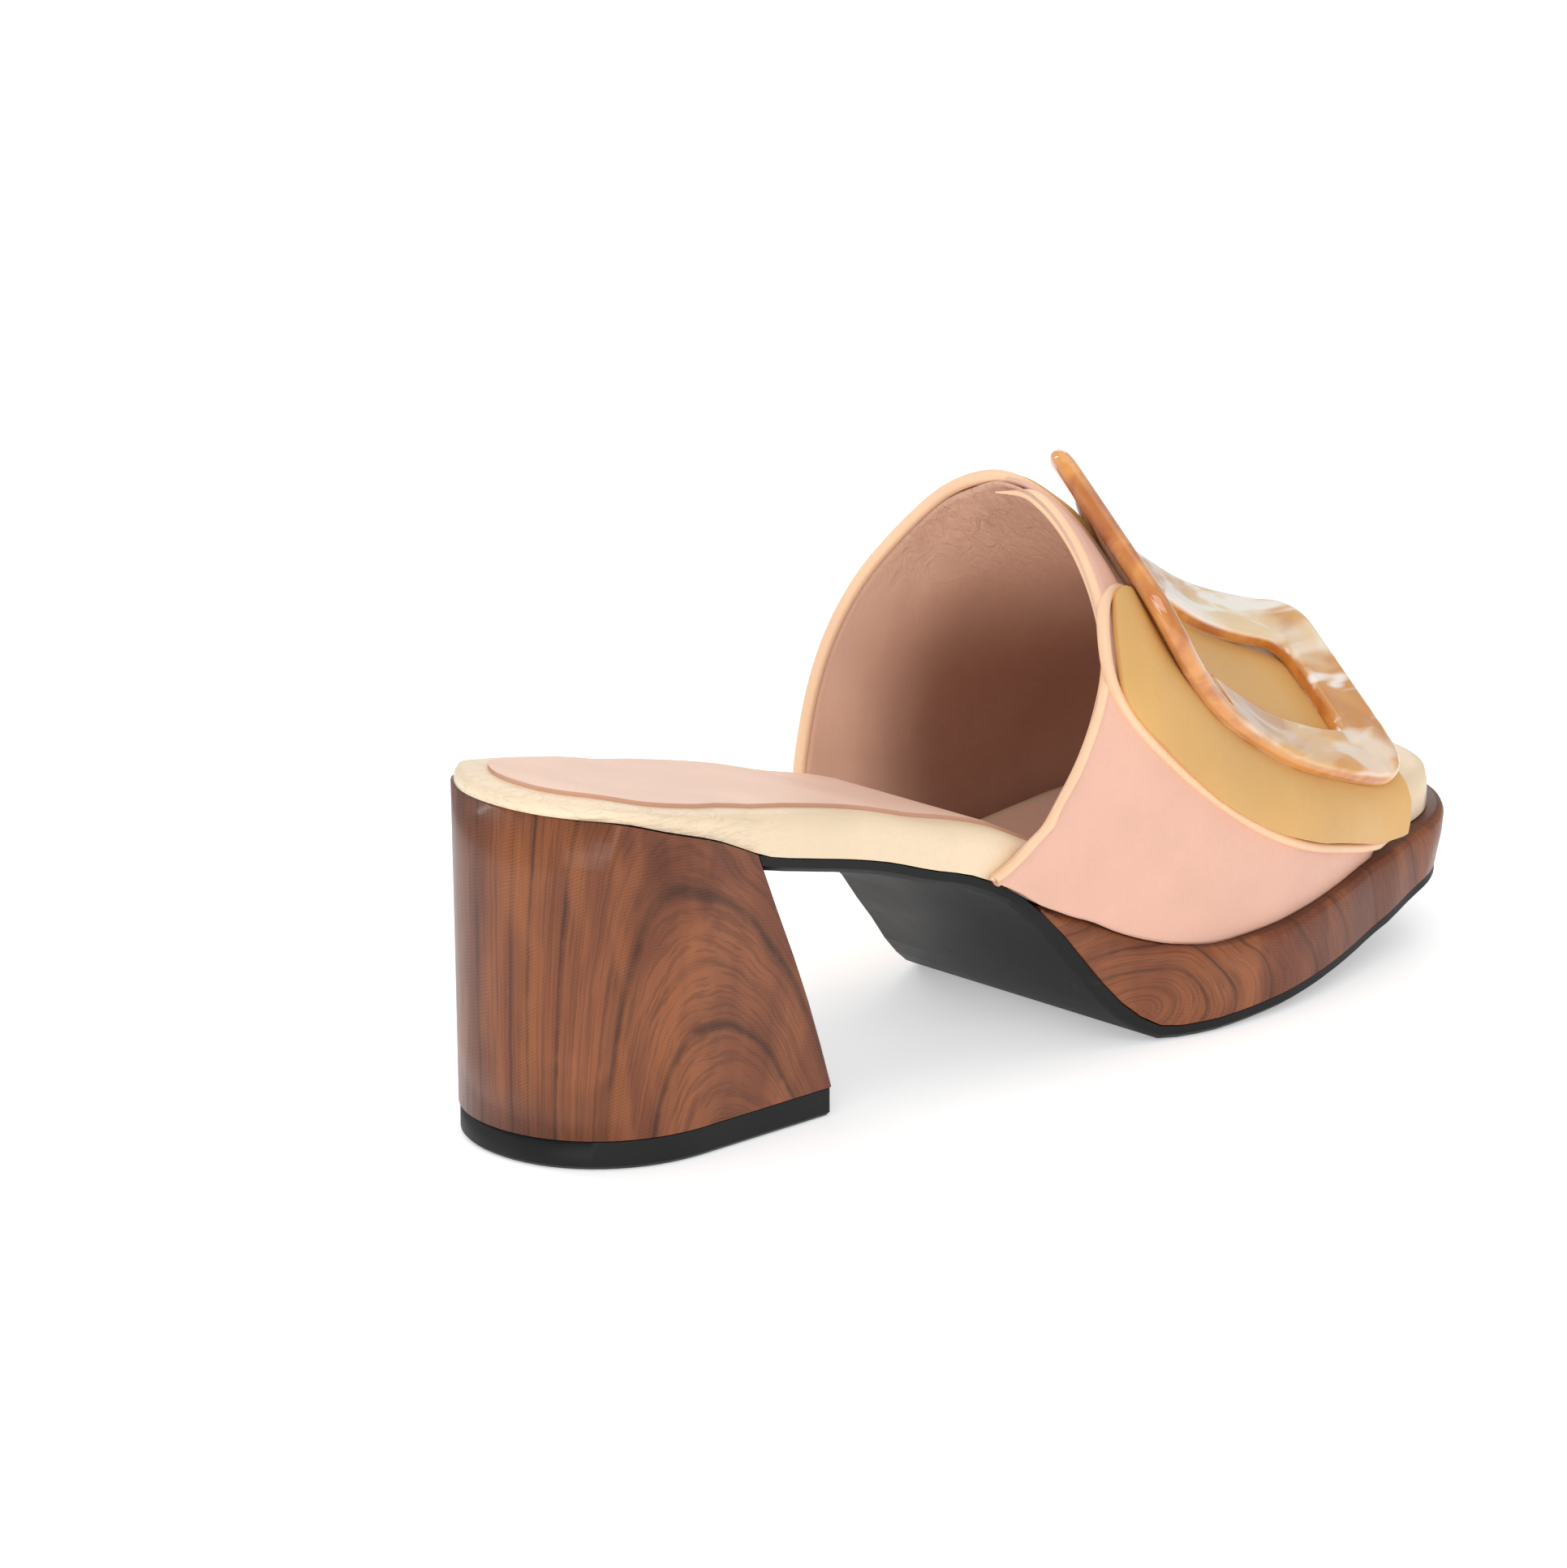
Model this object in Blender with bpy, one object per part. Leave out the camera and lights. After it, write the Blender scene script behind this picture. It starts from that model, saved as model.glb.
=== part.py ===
"""Platform mule sandal, right shoe, built as the real one is made.

Lengths are in metres. Y runs from the heel to the toe, X to the wearer's right
(the lateral side), Z up from the floor. Tables give places along the shoe as
shares of SOLE_LENGTH and the rest as shares of the size named beside them.
"""
import math
from bisect import bisect_right
from collections import namedtuple

import bpy
import bmesh
from mathutils import Vector

# Driving sizes
SOLE_LENGTH = 0.2480        # back of the footbed to the tip of the platform
FOOTBED_WIDTH = 0.0755      # footbed across the ball of the foot
HEEL_RISE = 0.0700          # floor to the underside of the footbed at its back
PLATFORM_HEIGHT = 0.0178    # floor to the top of the platform at the ball
TOE_SPRING = 0.0170         # how far the toe's underside is lifted
RUBBER = 0.0026             # outsole
FOOTBED_EDGE = 0.0094       # height of the covered footbed edge
FOOTBED_BACK_SET = 0.0008   # footbed's back, forward of the top piece
HEEL_TURN = 0.0317          # length of the footbed's rounding at the heel
TOE_TURN = 0.0164           # and at the toe
HEEL_SQUARENESS = 2.15
TOE_SQUARENESS = 2.5
SOCK = 0.0006               # lining on the footbed
SOCK_INSET = 0.0052         # bare rim left around the sock
SOCK_ROUND = 0.0004
FIT_GAP = 0.0003            # clearance between pieces that touch

# Platform
PLATFORM_BACK = 0.1156      # where its feather edge starts
LEDGE = 0.0034              # platform rim outside the upper
RIM_ROUND = 0.0018          # rounding of the platform's upper edge
SOLE_BEVEL = 0.0011         # bevel on the outsole's lower edge
TOE_DRAFT = 0.0022          # how far the toe's wall leans in at its foot
TOE_DRAFT_START = 0.86      # along the shoe
WALL_BULGE = 0.15           # of the rim's rounding, halfway up the wall

# Heel
TOP_PIECE = 0.0056          # rubber tip of the heel
TOP_PIECE_LENGTH = 0.0640
TOP_PIECE_WIDTH = 0.0552
TOP_PIECE_SET = 0.0003      # inside the heel's outline
TOP_PIECE_BEVEL = 0.0007
HEEL_TOP_LENGTH = 0.0412
HEEL_TOP_WIDTH = 0.0610
HEEL_BACK_SET = 0.0010      # lean of the heel's back
HEEL_LOW_TURN = 0.46        # rounding of its back, as a share of TOP_PIECE_LENGTH
HEEL_HIGH_TURN = 0.70       # and at the top, as a share of HEEL_TOP_LENGTH
HEEL_BACK_SQUARENESS = 2.1
HEEL_TAPER = 0.02           # share of the width lost towards the breast
HEEL_CORNER = 0.0012        # rounding of the breast's two edges
HEEL_BOW = 0.0016           # forward bow of the breast
HEEL_CENTRE = 0.0012        # heel's centre line, towards the lateral side
REST_POINT = 0.0320         # middle of the top piece, the row's origin

# Upper
UPPER_WALL = 0.0018
UPPER_RISE = 0.0880         # height of the crown over the footbed's underside
STRAP_LAYER = 0.0017        # strap lying on the upper
STRAP_ROOT = 0.0008         # depth by which the strap is bonded into the wall
STRAP_FEATHER = 0.15        # share of its length over which it thins to nothing
STRAP_THIN = 0.1            # of STRAP_LAYER, left at the end

# Buckle
BUCKLE_WIDTH = 0.0505
BUCKLE_LENGTH = 0.0920      # along its curve
BUCKLE_BAR = 0.0128
BUCKLE_THICK = 0.0044
BUCKLE_CORNER = 0.0085
BUCKLE_EYE_CORNER = 0.0045
PRESS_SOFTNESS = 0.0020     # how gently the vamp flattens under the buckle

Plan = namedtuple("Plan", "along lateral medial")
Profile = namedtuple("Profile", "along rise cling edge")
Margin = namedtuple("Margin", "along cover ledge")
Last = namedtuple("Last", "along lateral medial wide crown power")
Cut = namedtuple("Cut", "around collar front")
Strap = namedtuple("Strap", "around rear front")
Sweep = namedtuple("Sweep", "along y z")
Height = namedtuple("Height", "y z")
Place = namedtuple("Place", "across along rise")
Shoulder = namedtuple("Shoulder", "rise inset")
Bar = namedtuple("Bar", "place height")
Finish = namedtuple("Finish", "colour roughness metallic")

# Sides of the footbed, as shares of FOOTBED_WIDTH, before its ends are rounded
FOOTBED_PLAN = (
    Plan(0.000, 0.410, 0.372),
    Plan(0.120, 0.408, 0.372),
    Plan(0.182, 0.398, 0.360),
    Plan(0.270, 0.398, 0.338),
    Plan(0.400, 0.408, 0.322),
    Plan(0.455, 0.420, 0.320),
    Plan(0.510, 0.447, 0.322),
    Plan(0.545, 0.470, 0.336),
    Plan(0.585, 0.496, 0.378),
    Plan(0.640, 0.517, 0.438),
    Plan(0.700, 0.517, 0.475),
    Plan(0.745, 0.502, 0.480),
    Plan(0.796, 0.469, 0.455),
    Plan(0.855, 0.424, 0.398),
    Plan(0.920, 0.408, 0.366),
    Plan(1.000, 0.402, 0.345),
)

# Side view: rise of the footbed's underside between ball and heel, how far the
# outsole clings to it, and height of the footbed's edge as a share of FOOTBED_EDGE
PROFILE = (
    Profile(0.000, 1.000, 1.000, 0.28),
    Profile(0.045, 0.981, 1.000, 0.33),
    Profile(0.081, 0.932, 1.000, 0.39),
    Profile(0.121, 0.874, 1.000, 0.50),
    Profile(0.154, 0.806, 1.000, 0.72),
    Profile(0.182, 0.747, 1.000, 0.87),
    Profile(0.226, 0.697, 1.000, 0.94),
    Profile(0.271, 0.650, 1.000, 0.95),
    Profile(0.311, 0.600, 1.000, 0.96),
    Profile(0.356, 0.527, 1.000, 1.00),
    Profile(0.400, 0.464, 1.000, 1.06),
    Profile(0.440, 0.371, 1.000, 1.24),
    Profile(0.462, 0.303, 0.965, 1.32),
    Profile(0.480, 0.263, 0.884, 1.32),
    Profile(0.495, 0.230, 0.765, 1.30),
    Profile(0.512, 0.199, 0.612, 1.26),
    Profile(0.536, 0.140, 0.370, 1.20),
    Profile(0.558, 0.096, 0.170, 1.14),
    Profile(0.576, 0.067, 0.045, 1.09),
    Profile(0.588, 0.050, 0.000, 1.06),
    Profile(0.645, 0.006, 0.000, 0.98),
    Profile(0.700, 0.000, 0.000, 0.95),
    Profile(1.000, 0.000, 0.000, 0.92),
)
SPRING_START = 0.615
SEAT_SPRING = 0.80          # the platform thins towards the toe by the rest

# Rounding of the footbed's edge: height as a share of the edge, and inset
FOOTBED_SHOULDER = (
    Shoulder(0.00, 0.0000),
    Shoulder(0.55, 0.0000),
    Shoulder(0.85, 0.0006),
    Shoulder(0.97, 0.0020),
    Shoulder(1.00, 0.0040),
)

# Platform beyond the footbed: shares of the upper's wall and of the ledge
MARGIN = (
    Margin(0.000, 0.00, 0.00),
    Margin(0.380, 0.00, 0.00),
    Margin(0.430, 0.60, 0.00),
    Margin(0.465, 1.00, 0.03),
    Margin(0.530, 1.00, 0.22),
    Margin(0.585, 1.00, 0.50),
    Margin(0.635, 1.00, 0.90),
    Margin(0.680, 1.00, 1.00),
    Margin(0.860, 1.00, 1.00),
    Margin(0.920, 0.30, 1.00),
    Margin(1.000, 0.00, 1.00),
)

# Shape of the last under the upper: bulge beyond the footbed on each side as
# shares of FOOTBED_WIDTH, heights of widest line and crown as shares of UPPER_RISE,
# and squareness of the arch
LAST = (
    Last(0.400, 0.008, 0.045, 0.090, 1.000, 2.20),
    Last(0.455, 0.018, 0.082, 0.180, 1.020, 2.20),
    Last(0.485, 0.032, 0.100, 0.205, 1.010, 2.20),
    Last(0.510, 0.040, 0.104, 0.225, 1.004, 2.20),
    Last(0.533, 0.048, 0.100, 0.238, 1.000, 2.20),
    Last(0.558, 0.050, 0.090, 0.240, 0.994, 2.16),
    Last(0.586, 0.046, 0.076, 0.232, 0.955, 2.06),
    Last(0.626, 0.040, 0.060, 0.210, 0.888, 1.94),
    Last(0.695, 0.034, 0.040, 0.172, 0.735, 1.84),
    Last(0.776, 0.030, 0.026, 0.152, 0.545, 1.82),
    Last(0.848, 0.026, 0.018, 0.128, 0.425, 1.86),
    Last(0.910, 0.020, 0.012, 0.104, 0.355, 1.90),
)

# Collar and toe edge of the upper. Around runs over the foot from the lateral
# sole line (0) to the medial one (1).
EDGES = (
    Cut(0.000, 0.412, 0.853),
    Cut(0.080, 0.440, 0.860),
    Cut(0.150, 0.466, 0.864),
    Cut(0.180, 0.490, 0.865),
    Cut(0.215, 0.511, 0.865),
    Cut(0.270, 0.531, 0.864),
    Cut(0.345, 0.540, 0.863),
    Cut(0.420, 0.547, 0.864),
    Cut(0.500, 0.558, 0.865),
    Cut(0.557, 0.564, 0.863),
    Cut(0.620, 0.553, 0.860),
    Cut(0.680, 0.535, 0.857),
    Cut(0.724, 0.514, 0.854),
    Cut(0.771, 0.489, 0.850),
    Cut(0.820, 0.466, 0.846),
    Cut(0.850, 0.456, 0.843),
    Cut(0.900, 0.450, 0.838),
    Cut(0.950, 0.461, 0.834),
    Cut(1.000, 0.474, 0.830),
)
WALL_TOP = 0.15             # around-value at which the side wall becomes the arch

# Strap from the crown through the buckle to its flap on the lateral side
STRAP = (
    Strap(0.050, 0.862, 0.880),
    Strap(0.072, 0.836, 0.886),
    Strap(0.105, 0.804, 0.889),
    Strap(0.140, 0.762, 0.889),
    Strap(0.168, 0.714, 0.886),
    Strap(0.184, 0.668, 0.884),
    Strap(0.195, 0.622, 0.882),
    Strap(0.205, 0.580, 0.880),
    Strap(0.217, 0.545, 0.878),
    Strap(0.236, 0.528, 0.874),
    Strap(0.262, 0.529, 0.868),
    Strap(0.300, 0.537, 0.862),
    Strap(0.328, 0.552, 0.858),
    Strap(0.348, 0.596, 0.852),
    Strap(0.370, 0.630, 0.846),
    Strap(0.400, 0.632, 0.846),
    Strap(0.430, 0.612, 0.852),
    Strap(0.465, 0.585, 0.862),
    Strap(0.500, 0.568, 0.868),
    Strap(0.560, 0.566, 0.866),
    Strap(0.640, 0.552, 0.862),
)

# Buckle: profile of its middle line in side view, as shares of BUCKLE_LENGTH
BUCKLE_PROFILE = (
    Sweep(0.000, 0.000, 0.518),
    Sweep(0.092, 0.047, 0.438),
    Sweep(0.174, 0.092, 0.370),
    Sweep(0.314, 0.182, 0.263),
    Sweep(0.491, 0.325, 0.159),
    Sweep(0.606, 0.425, 0.102),
    Sweep(0.753, 0.563, 0.049),
    Sweep(0.930, 0.734, 0.004),
    Sweep(1.000, 0.804, 0.000),
)
# Section of the buckle's bar: place from its outer to its inner edge, and height as
# a share of half its thickness
BAR_SECTION = (
    Bar(0.02, -0.45),
    Bar(0.10, -0.92),
    Bar(0.30, -1.00),
    Bar(0.70, -1.00),
    Bar(0.90, -0.92),
    Bar(0.98, -0.45),
    Bar(0.98, 0.45),
    Bar(0.90, 0.92),
    Bar(0.70, 1.00),
    Bar(0.30, 1.00),
    Bar(0.10, 0.92),
    Bar(0.02, 0.45),
)
# Place below the middle of the rear bar, as shares of FOOTBED_WIDTH, SOLE_LENGTH and UPPER_RISE
BUCKLE_PLACE = Place(0.2676, 0.5919, 0.6318)
BUCKLE_FOOT = Vector((
    BUCKLE_PLACE.across * FOOTBED_WIDTH,
    BUCKLE_PLACE.along * SOLE_LENGTH,
    BUCKLE_PLACE.rise * UPPER_RISE,
))
BUCKLE_CROSSWISE = Vector((0.800, -0.110, -0.590))    # from the medial bar to the lateral

FINISHES = {
    "rubber": Finish((0.022, 0.022, 0.023), 0.55, 0.0),
    "wood": Finish((0.185, 0.058, 0.028), 0.32, 0.0),
    "cream_leather": Finish((0.895, 0.780, 0.580), 0.48, 0.0),
    "sock_leather": Finish((0.800, 0.560, 0.460), 0.60, 0.0),
    "pink_leather": Finish((0.820, 0.510, 0.400), 0.50, 0.0),
    "resin": Finish((0.640, 0.300, 0.070), 0.12, 0.0),
}

ROUND_STEPS = 16            # stations at each rounded end of a slab
SIDE_STEPS = 44             # and between them
HEEL_STEPS = 8              # between the ends of the heel's section
HEEL_LEVELS = 5
UPPER_COLUMNS = 48          # steps over the foot
UPPER_STEPS = 15            # steps along the foot
STRAP_COLUMNS = 44
STRAP_STEPS = 12
CORNER_STEPS = 6            # steps round a corner of the buckle
BAR_STEPS = 6               # steps along one of its bars


def smooth(rows, column):
    """Return the monotone cubic through one column of a table."""
    xs = [row[0] for row in rows]
    ys = [getattr(row, column) for row in rows]
    runs = list(zip(xs, xs[1:], ys, ys[1:]))
    secants = [(y1 - y0) / (x1 - x0) for x0, x1, y0, y1 in runs]
    slopes = [secants[0]]
    for left, right in zip(secants, secants[1:]):
        level = left * right <= 0.0
        slopes.append(0.0 if level else 2.0 * left * right / (left + right))
    slopes.append(secants[-1])

    def value(x):
        x = min(max(x, xs[0]), xs[-1])
        i = min(bisect_right(xs, x) - 1, len(xs) - 2)
        run = xs[i + 1] - xs[i]
        t = (x - xs[i]) / run
        start = ys[i] * (1.0 + 2.0 * t) + slopes[i] * run * t
        end = ys[i + 1] * (3.0 - 2.0 * t) + slopes[i + 1] * run * (t - 1.0)
        return start * (1.0 - t) ** 2 + end * t ** 2

    return value


PLAN_LATERAL = smooth(FOOTBED_PLAN, "lateral")
PLAN_MEDIAL = smooth(FOOTBED_PLAN, "medial")
RISE = smooth(PROFILE, "rise")
CLING = smooth(PROFILE, "cling")
EDGE = smooth(PROFILE, "edge")
COVER = smooth(MARGIN, "cover")
MARGIN_LEDGE = smooth(MARGIN, "ledge")
LAST_LATERAL = smooth(LAST, "lateral")
LAST_MEDIAL = smooth(LAST, "medial")
LAST_WIDE = smooth(LAST, "wide")
LAST_CROWN = smooth(LAST, "crown")
LAST_POWER = smooth(LAST, "power")
COLLAR = smooth(EDGES, "collar")
TOE_EDGE = smooth(EDGES, "front")
STRAP_REAR = smooth(STRAP, "rear")
STRAP_FRONT = smooth(STRAP, "front")
PROFILE_Y = smooth(BUCKLE_PROFILE, "y")
PROFILE_Z = smooth(BUCKLE_PROFILE, "z")
PROFILE_HEIGHT = smooth([Height(row.y, row.z) for row in BUCKLE_PROFILE], "z")


def mix(start, end, share):
    return start + (end - start) * share


def spring(y):
    """Lift of the forepart's underside."""
    share = (y / SOLE_LENGTH - SPRING_START) / (1.0 - SPRING_START)
    return TOE_SPRING * max(share, 0.0) ** 1.8


def seat(y):
    """Underside of the footbed."""
    share = y / SOLE_LENGTH
    return PLATFORM_HEIGHT + (HEEL_RISE - PLATFORM_HEIGHT) * RISE(share) + SEAT_SPRING * spring(y)


def outsole_top(y):
    floor_line = RUBBER + spring(y)
    return mix(floor_line, seat(y) - FIT_GAP, CLING(y / SOLE_LENGTH))


def outsole_bottom(y):
    """The outsole keeps its thickness square to its own slope."""
    step = 0.002 * SOLE_LENGTH
    slope = (outsole_top(y + step) - outsole_top(y - step)) / (2.0 * step)
    return max(outsole_top(y) - RUBBER * math.hypot(1.0, slope), 0.0)


def platform_top(y):
    return seat(y) - FIT_GAP


def footbed_top(y):
    return seat(y) + FOOTBED_EDGE * EDGE(y / SOLE_LENGTH)


def end_round(distance, radius, power):
    """Share of the full width at a distance from a rounded end."""
    share = min(max(distance / radius, 0.0), 1.0)
    return (1.0 - (1.0 - share) ** power) ** (1.0 / power)


def footbed_rungs():
    """Rungs (y, lateral x, medial x) of the footbed, rounded at heel and toe."""
    back, front = FOOTBED_BACK_SET, SOLE_LENGTH - LEDGE
    rungs = []
    for y in stations(back, front, HEEL_TURN, TOE_TURN, SIDE_STEPS):
        share = y / SOLE_LENGTH
        heel = end_round(y - back, HEEL_TURN, HEEL_SQUARENESS)
        toe = end_round(front - y, TOE_TURN, TOE_SQUARENESS)
        lateral = FOOTBED_WIDTH * PLAN_LATERAL(share)
        medial = -FOOTBED_WIDTH * PLAN_MEDIAL(share)
        middle = 0.5 * (lateral + medial)
        half = 0.5 * (lateral - medial) * heel * toe
        rungs.append((y, middle + half, middle - half))
    return rungs


def stations(back, front, back_radius, front_radius, steps):
    """Places from back to front, close together at both rounded ends."""
    back_turn = [0.5 * math.pi * (i + 0.5) / ROUND_STEPS for i in range(ROUND_STEPS)]
    places = [back + back_radius * (1.0 - math.cos(turn)) for turn in back_turn]
    first, last = back + back_radius, front - front_radius
    places += [mix(first, last, i / steps) for i in range(steps + 1)]
    places += [front - front_radius * (1.0 - math.cos(turn)) for turn in reversed(back_turn)]
    return places


def outline(rungs):
    """Closed plan outline: up the lateral side, back down the medial side."""
    lateral = [Vector((right, y)) for y, right, left in rungs]
    medial = [Vector((left, y)) for y, right, left in reversed(rungs)]
    return lateral + medial


def grown(points, amount):
    """Move an outline outwards by a length, or by a function of y."""
    moved = []
    for i, point in enumerate(points):
        before = (point - points[i - 1]).normalized()
        after = (points[(i + 1) % len(points)] - point).normalized()
        along = (before + after).normalized()
        out = Vector((along.y, -along.x))
        if callable(amount):
            distance = amount(point.y)
        else:
            distance = amount
        moved.append(point + out * distance)
    return moved


def ring(points, height, lift=0.0):
    """Lay an outline on a height function."""
    return [Vector((point.x, point.y, height(point.y) + lift)) for point in points]


def skin(name, rings, finish, closed=False):
    """One closed body through rings of equal count, with its ends laddered."""
    work = bmesh.new()
    rows = [[work.verts.new(point) for point in loop] for loop in rings]
    count = len(rows[0])
    pairs = list(zip(rows, rows[1:]))
    if closed:
        pairs.append((rows[-1], rows[0]))
    for lower, upper in pairs:
        for i in range(count):
            k = (i + 1) % count
            work.faces.new((lower[i], lower[k], upper[k], upper[i]))
    if not closed:
        for row in (rows[0], rows[-1]):
            for i in range(count // 2 - 1):
                work.faces.new((row[i], row[i + 1], row[count - 2 - i], row[count - 1 - i]))
    bmesh.ops.recalc_face_normals(work, faces=work.faces)
    mesh = bpy.data.meshes.new(name)
    work.to_mesh(mesh)
    work.free()
    mesh.shade_smooth()
    mesh.set_sharp_from_angle(angle=math.radians(35.0))
    mesh.materials.append(finish)
    piece = bpy.data.objects.new(name, mesh)
    bpy.context.scene.collection.objects.link(piece)
    return piece


def make_finish(name):
    values = FINISHES[name]
    material = bpy.data.materials.new(name)
    material.use_nodes = True
    shader = material.node_tree.nodes["Principled BSDF"]
    shader.inputs["Base Color"].default_value = (*values.colour, 1.0)
    shader.inputs["Roughness"].default_value = values.roughness
    shader.inputs["Metallic"].default_value = values.metallic
    return material


def breast(level):
    """Front of the heel, from the top piece (0) to the footbed (1)."""
    front = mix(TOP_PIECE_LENGTH, HEEL_BACK_SET + HEEL_TOP_LENGTH, level)
    return front + HEEL_BOW * math.sin(math.pi * level)


def heel_outline(level):
    """D-shaped section of the heel at one level."""
    back, front = mix(0.0, HEEL_BACK_SET, level), breast(level)
    half = 0.5 * mix(TOP_PIECE_WIDTH, HEEL_TOP_WIDTH, level)
    turn = mix(HEEL_LOW_TURN * TOP_PIECE_LENGTH, HEEL_HIGH_TURN * HEEL_TOP_LENGTH, level)
    rungs = []
    for y in stations(back, front, turn, HEEL_CORNER, HEEL_STEPS):
        width = half * end_round(y - back, turn, HEEL_BACK_SQUARENESS)
        width -= HEEL_TAPER * half * max(y - back - turn, 0.0) / (front - back - turn)
        width -= HEEL_CORNER * (1.0 - end_round(front - y, HEEL_CORNER, 2.0))
        rungs.append((y, HEEL_CENTRE + width, HEEL_CENTRE - width))
    return outline(rungs)


def make_top_piece(finish):
    tread = grown(heel_outline(0.0), -TOP_PIECE_SET)
    rings = [
        ring(grown(tread, -TOP_PIECE_BEVEL), lambda y: 0.0),
        ring(tread, lambda y: TOP_PIECE_BEVEL),
        ring(tread, lambda y: TOP_PIECE),
    ]
    return skin("top_piece", rings, finish)


def make_heel(finish):
    base = TOP_PIECE + FIT_GAP
    rings = []
    for i in range(HEEL_LEVELS + 1):
        level = i / HEEL_LEVELS
        rings.append(ring(heel_outline(level), lambda y: mix(base, seat(y) - FIT_GAP, level)))
    return skin("heel", rings, finish)


def forepart_rungs(back):
    """Rungs of outsole and platform, from a square rear edge to the rounded toe."""
    rungs = []
    for y, lateral, medial in footbed_rungs():
        if y > back:
            rungs.append((y, lateral, medial))
    first = rungs[0]
    return [(back, first[1], first[2])] + rungs[1:]


def margin(y):
    """Distance from the footbed's side to the platform's side."""
    share = y / SOLE_LENGTH
    return (UPPER_WALL + FIT_GAP) * COVER(share) + LEDGE * MARGIN_LEDGE(share)


def draft(y):
    """Lean of the toe's wall at its foot, as a distance inwards."""
    share = (y / SOLE_LENGTH - TOE_DRAFT_START) / (1.0 - TOE_DRAFT_START)
    return TOE_DRAFT * max(share, 0.0)


def make_outsole(finish):
    high = breast(1.0) + 2.0 * FIT_GAP
    low = breast(1.0 - 1.5 * RUBBER / HEEL_RISE) + 2.0 * FIT_GAP
    edge = grown(outline(forepart_rungs(high)), lambda y: margin(y) - FIT_GAP - draft(y))

    def cut(points, back):
        return [Vector((point.x, max(point.y, back))) for point in points]

    rings = [
        ring(cut(grown(edge, -SOLE_BEVEL), low), outsole_bottom),
        ring(cut(edge, mix(low, high, 0.35)), lambda y: mix(outsole_bottom(y), outsole_top(y), 0.35)),
        ring(cut(edge, high), outsole_top),
    ]
    return skin("outsole", rings, finish)


def make_platform(finish):
    edge = grown(outline(forepart_rungs(PLATFORM_BACK)), margin)
    edge = [Vector((point.x, max(point.y, PLATFORM_BACK))) for point in edge]

    def side(share):
        return lambda y: mix(outsole_top(y) + FIT_GAP, platform_top(y), share)

    def rim(share):
        return lambda y: platform_top(y) - min(RIM_ROUND, 0.4 * (side(1.0)(y) - side(0.0)(y))) * share

    rings = [
        ring(grown(edge, lambda y: -draft(y)), side(0.0)),
        ring(grown(edge, lambda y: WALL_BULGE * RIM_ROUND - 0.4 * draft(y)), side(0.5)),
        ring(edge, rim(1.0)),
        ring(grown(edge, -0.30 * RIM_ROUND), rim(0.3)),
        ring(grown(edge, -RIM_ROUND), rim(0.0)),
    ]
    return skin("platform", rings, finish)


def make_footbed(finish):
    edge = outline(footbed_rungs())

    def side(share):
        return lambda y: mix(seat(y), footbed_top(y), share)

    rings = [ring(grown(edge, -step.inset), side(step.rise)) for step in FOOTBED_SHOULDER]
    return skin("footbed", rings, finish)


def make_sock(finish):
    edge = grown(outline(footbed_rungs()), -SOCK_INSET)
    rings = [
        ring(edge, footbed_top, FIT_GAP),
        ring(grown(edge, -SOCK_ROUND), footbed_top, FIT_GAP + SOCK),
    ]
    return skin("sock", rings, finish)


FOOTBED_SIDE = footbed_rungs()


def footbed_side(y, column):
    """Side of the footbed at one place: column 1 lateral, 2 medial."""
    for lower, upper in zip(FOOTBED_SIDE, FOOTBED_SIDE[1:]):
        if y <= upper[0]:
            share = (y - lower[0]) / (upper[0] - lower[0])
            return mix(lower[column], upper[column], share)
    return FOOTBED_SIDE[-1][column]


def pressed(point):
    """Push a point of the last below the buckle, which flattens the vamp under it."""
    across = (point.x - BUCKLE_FOOT.x) / BUCKLE_CROSSWISE.x
    local = point - BUCKLE_FOOT - BUCKLE_CROSSWISE * across
    forward = local.y / BUCKLE_LENGTH
    step = 0.01
    inside = min(max(forward, step), BUCKLE_PROFILE[-1].y - step)
    slope = (PROFILE_HEIGHT(inside + step) - PROFILE_HEIGHT(inside - step)) / (2.0 * step)
    height = PROFILE_HEIGHT(inside) + slope * (forward - inside)
    normal = BUCKLE_CROSSWISE.cross(Vector((0.0, 1.0, slope))).normalized()
    above = (local.z - BUCKLE_LENGTH * height) * normal.z
    over = above + 0.5 * BUCKLE_THICK + FIT_GAP + STRAP_LAYER
    return point - normal * 0.5 * (over + math.hypot(over, PRESS_SOFTNESS))


def on_last(around, along):
    """Point on the outer face of the upper."""
    y = along * SOLE_LENGTH
    right = around < 0.5
    turn = around if right else 1.0 - around
    side = 1.0 if right else -1.0
    column = 1 if right else 2
    bulge = LAST_LATERAL(along) if right else LAST_MEDIAL(along)
    foot = abs(footbed_side(y, column)) + FIT_GAP + UPPER_WALL
    wide = foot + FOOTBED_WIDTH * bulge
    low = seat(y)
    middle = low + UPPER_RISE * LAST_WIDE(along)
    crown = low + UPPER_RISE * LAST_CROWN(along)
    if turn < WALL_TOP:
        share = turn / WALL_TOP
        x = mix(foot, wide, math.sin(0.5 * math.pi * share))
        return pressed(Vector((side * x, y, mix(low, middle, share))))
    angle = 0.5 * math.pi * (turn - WALL_TOP) / (0.5 - WALL_TOP)
    exponent = 2.0 / LAST_POWER(along)
    x = wide * max(math.cos(angle), 0.0) ** exponent
    z = middle + (crown - middle) * math.sin(angle) ** exponent
    return pressed(Vector((side * x, y, z)))


def last_normal(around, along):
    step = 0.004
    low, high = max(around - step, 0.0), min(around + step, 1.0)
    across = on_last(high, along) - on_last(low, along)
    forward = on_last(around, along + step) - on_last(around, along - step)
    return forward.cross(across).normalized()


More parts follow.
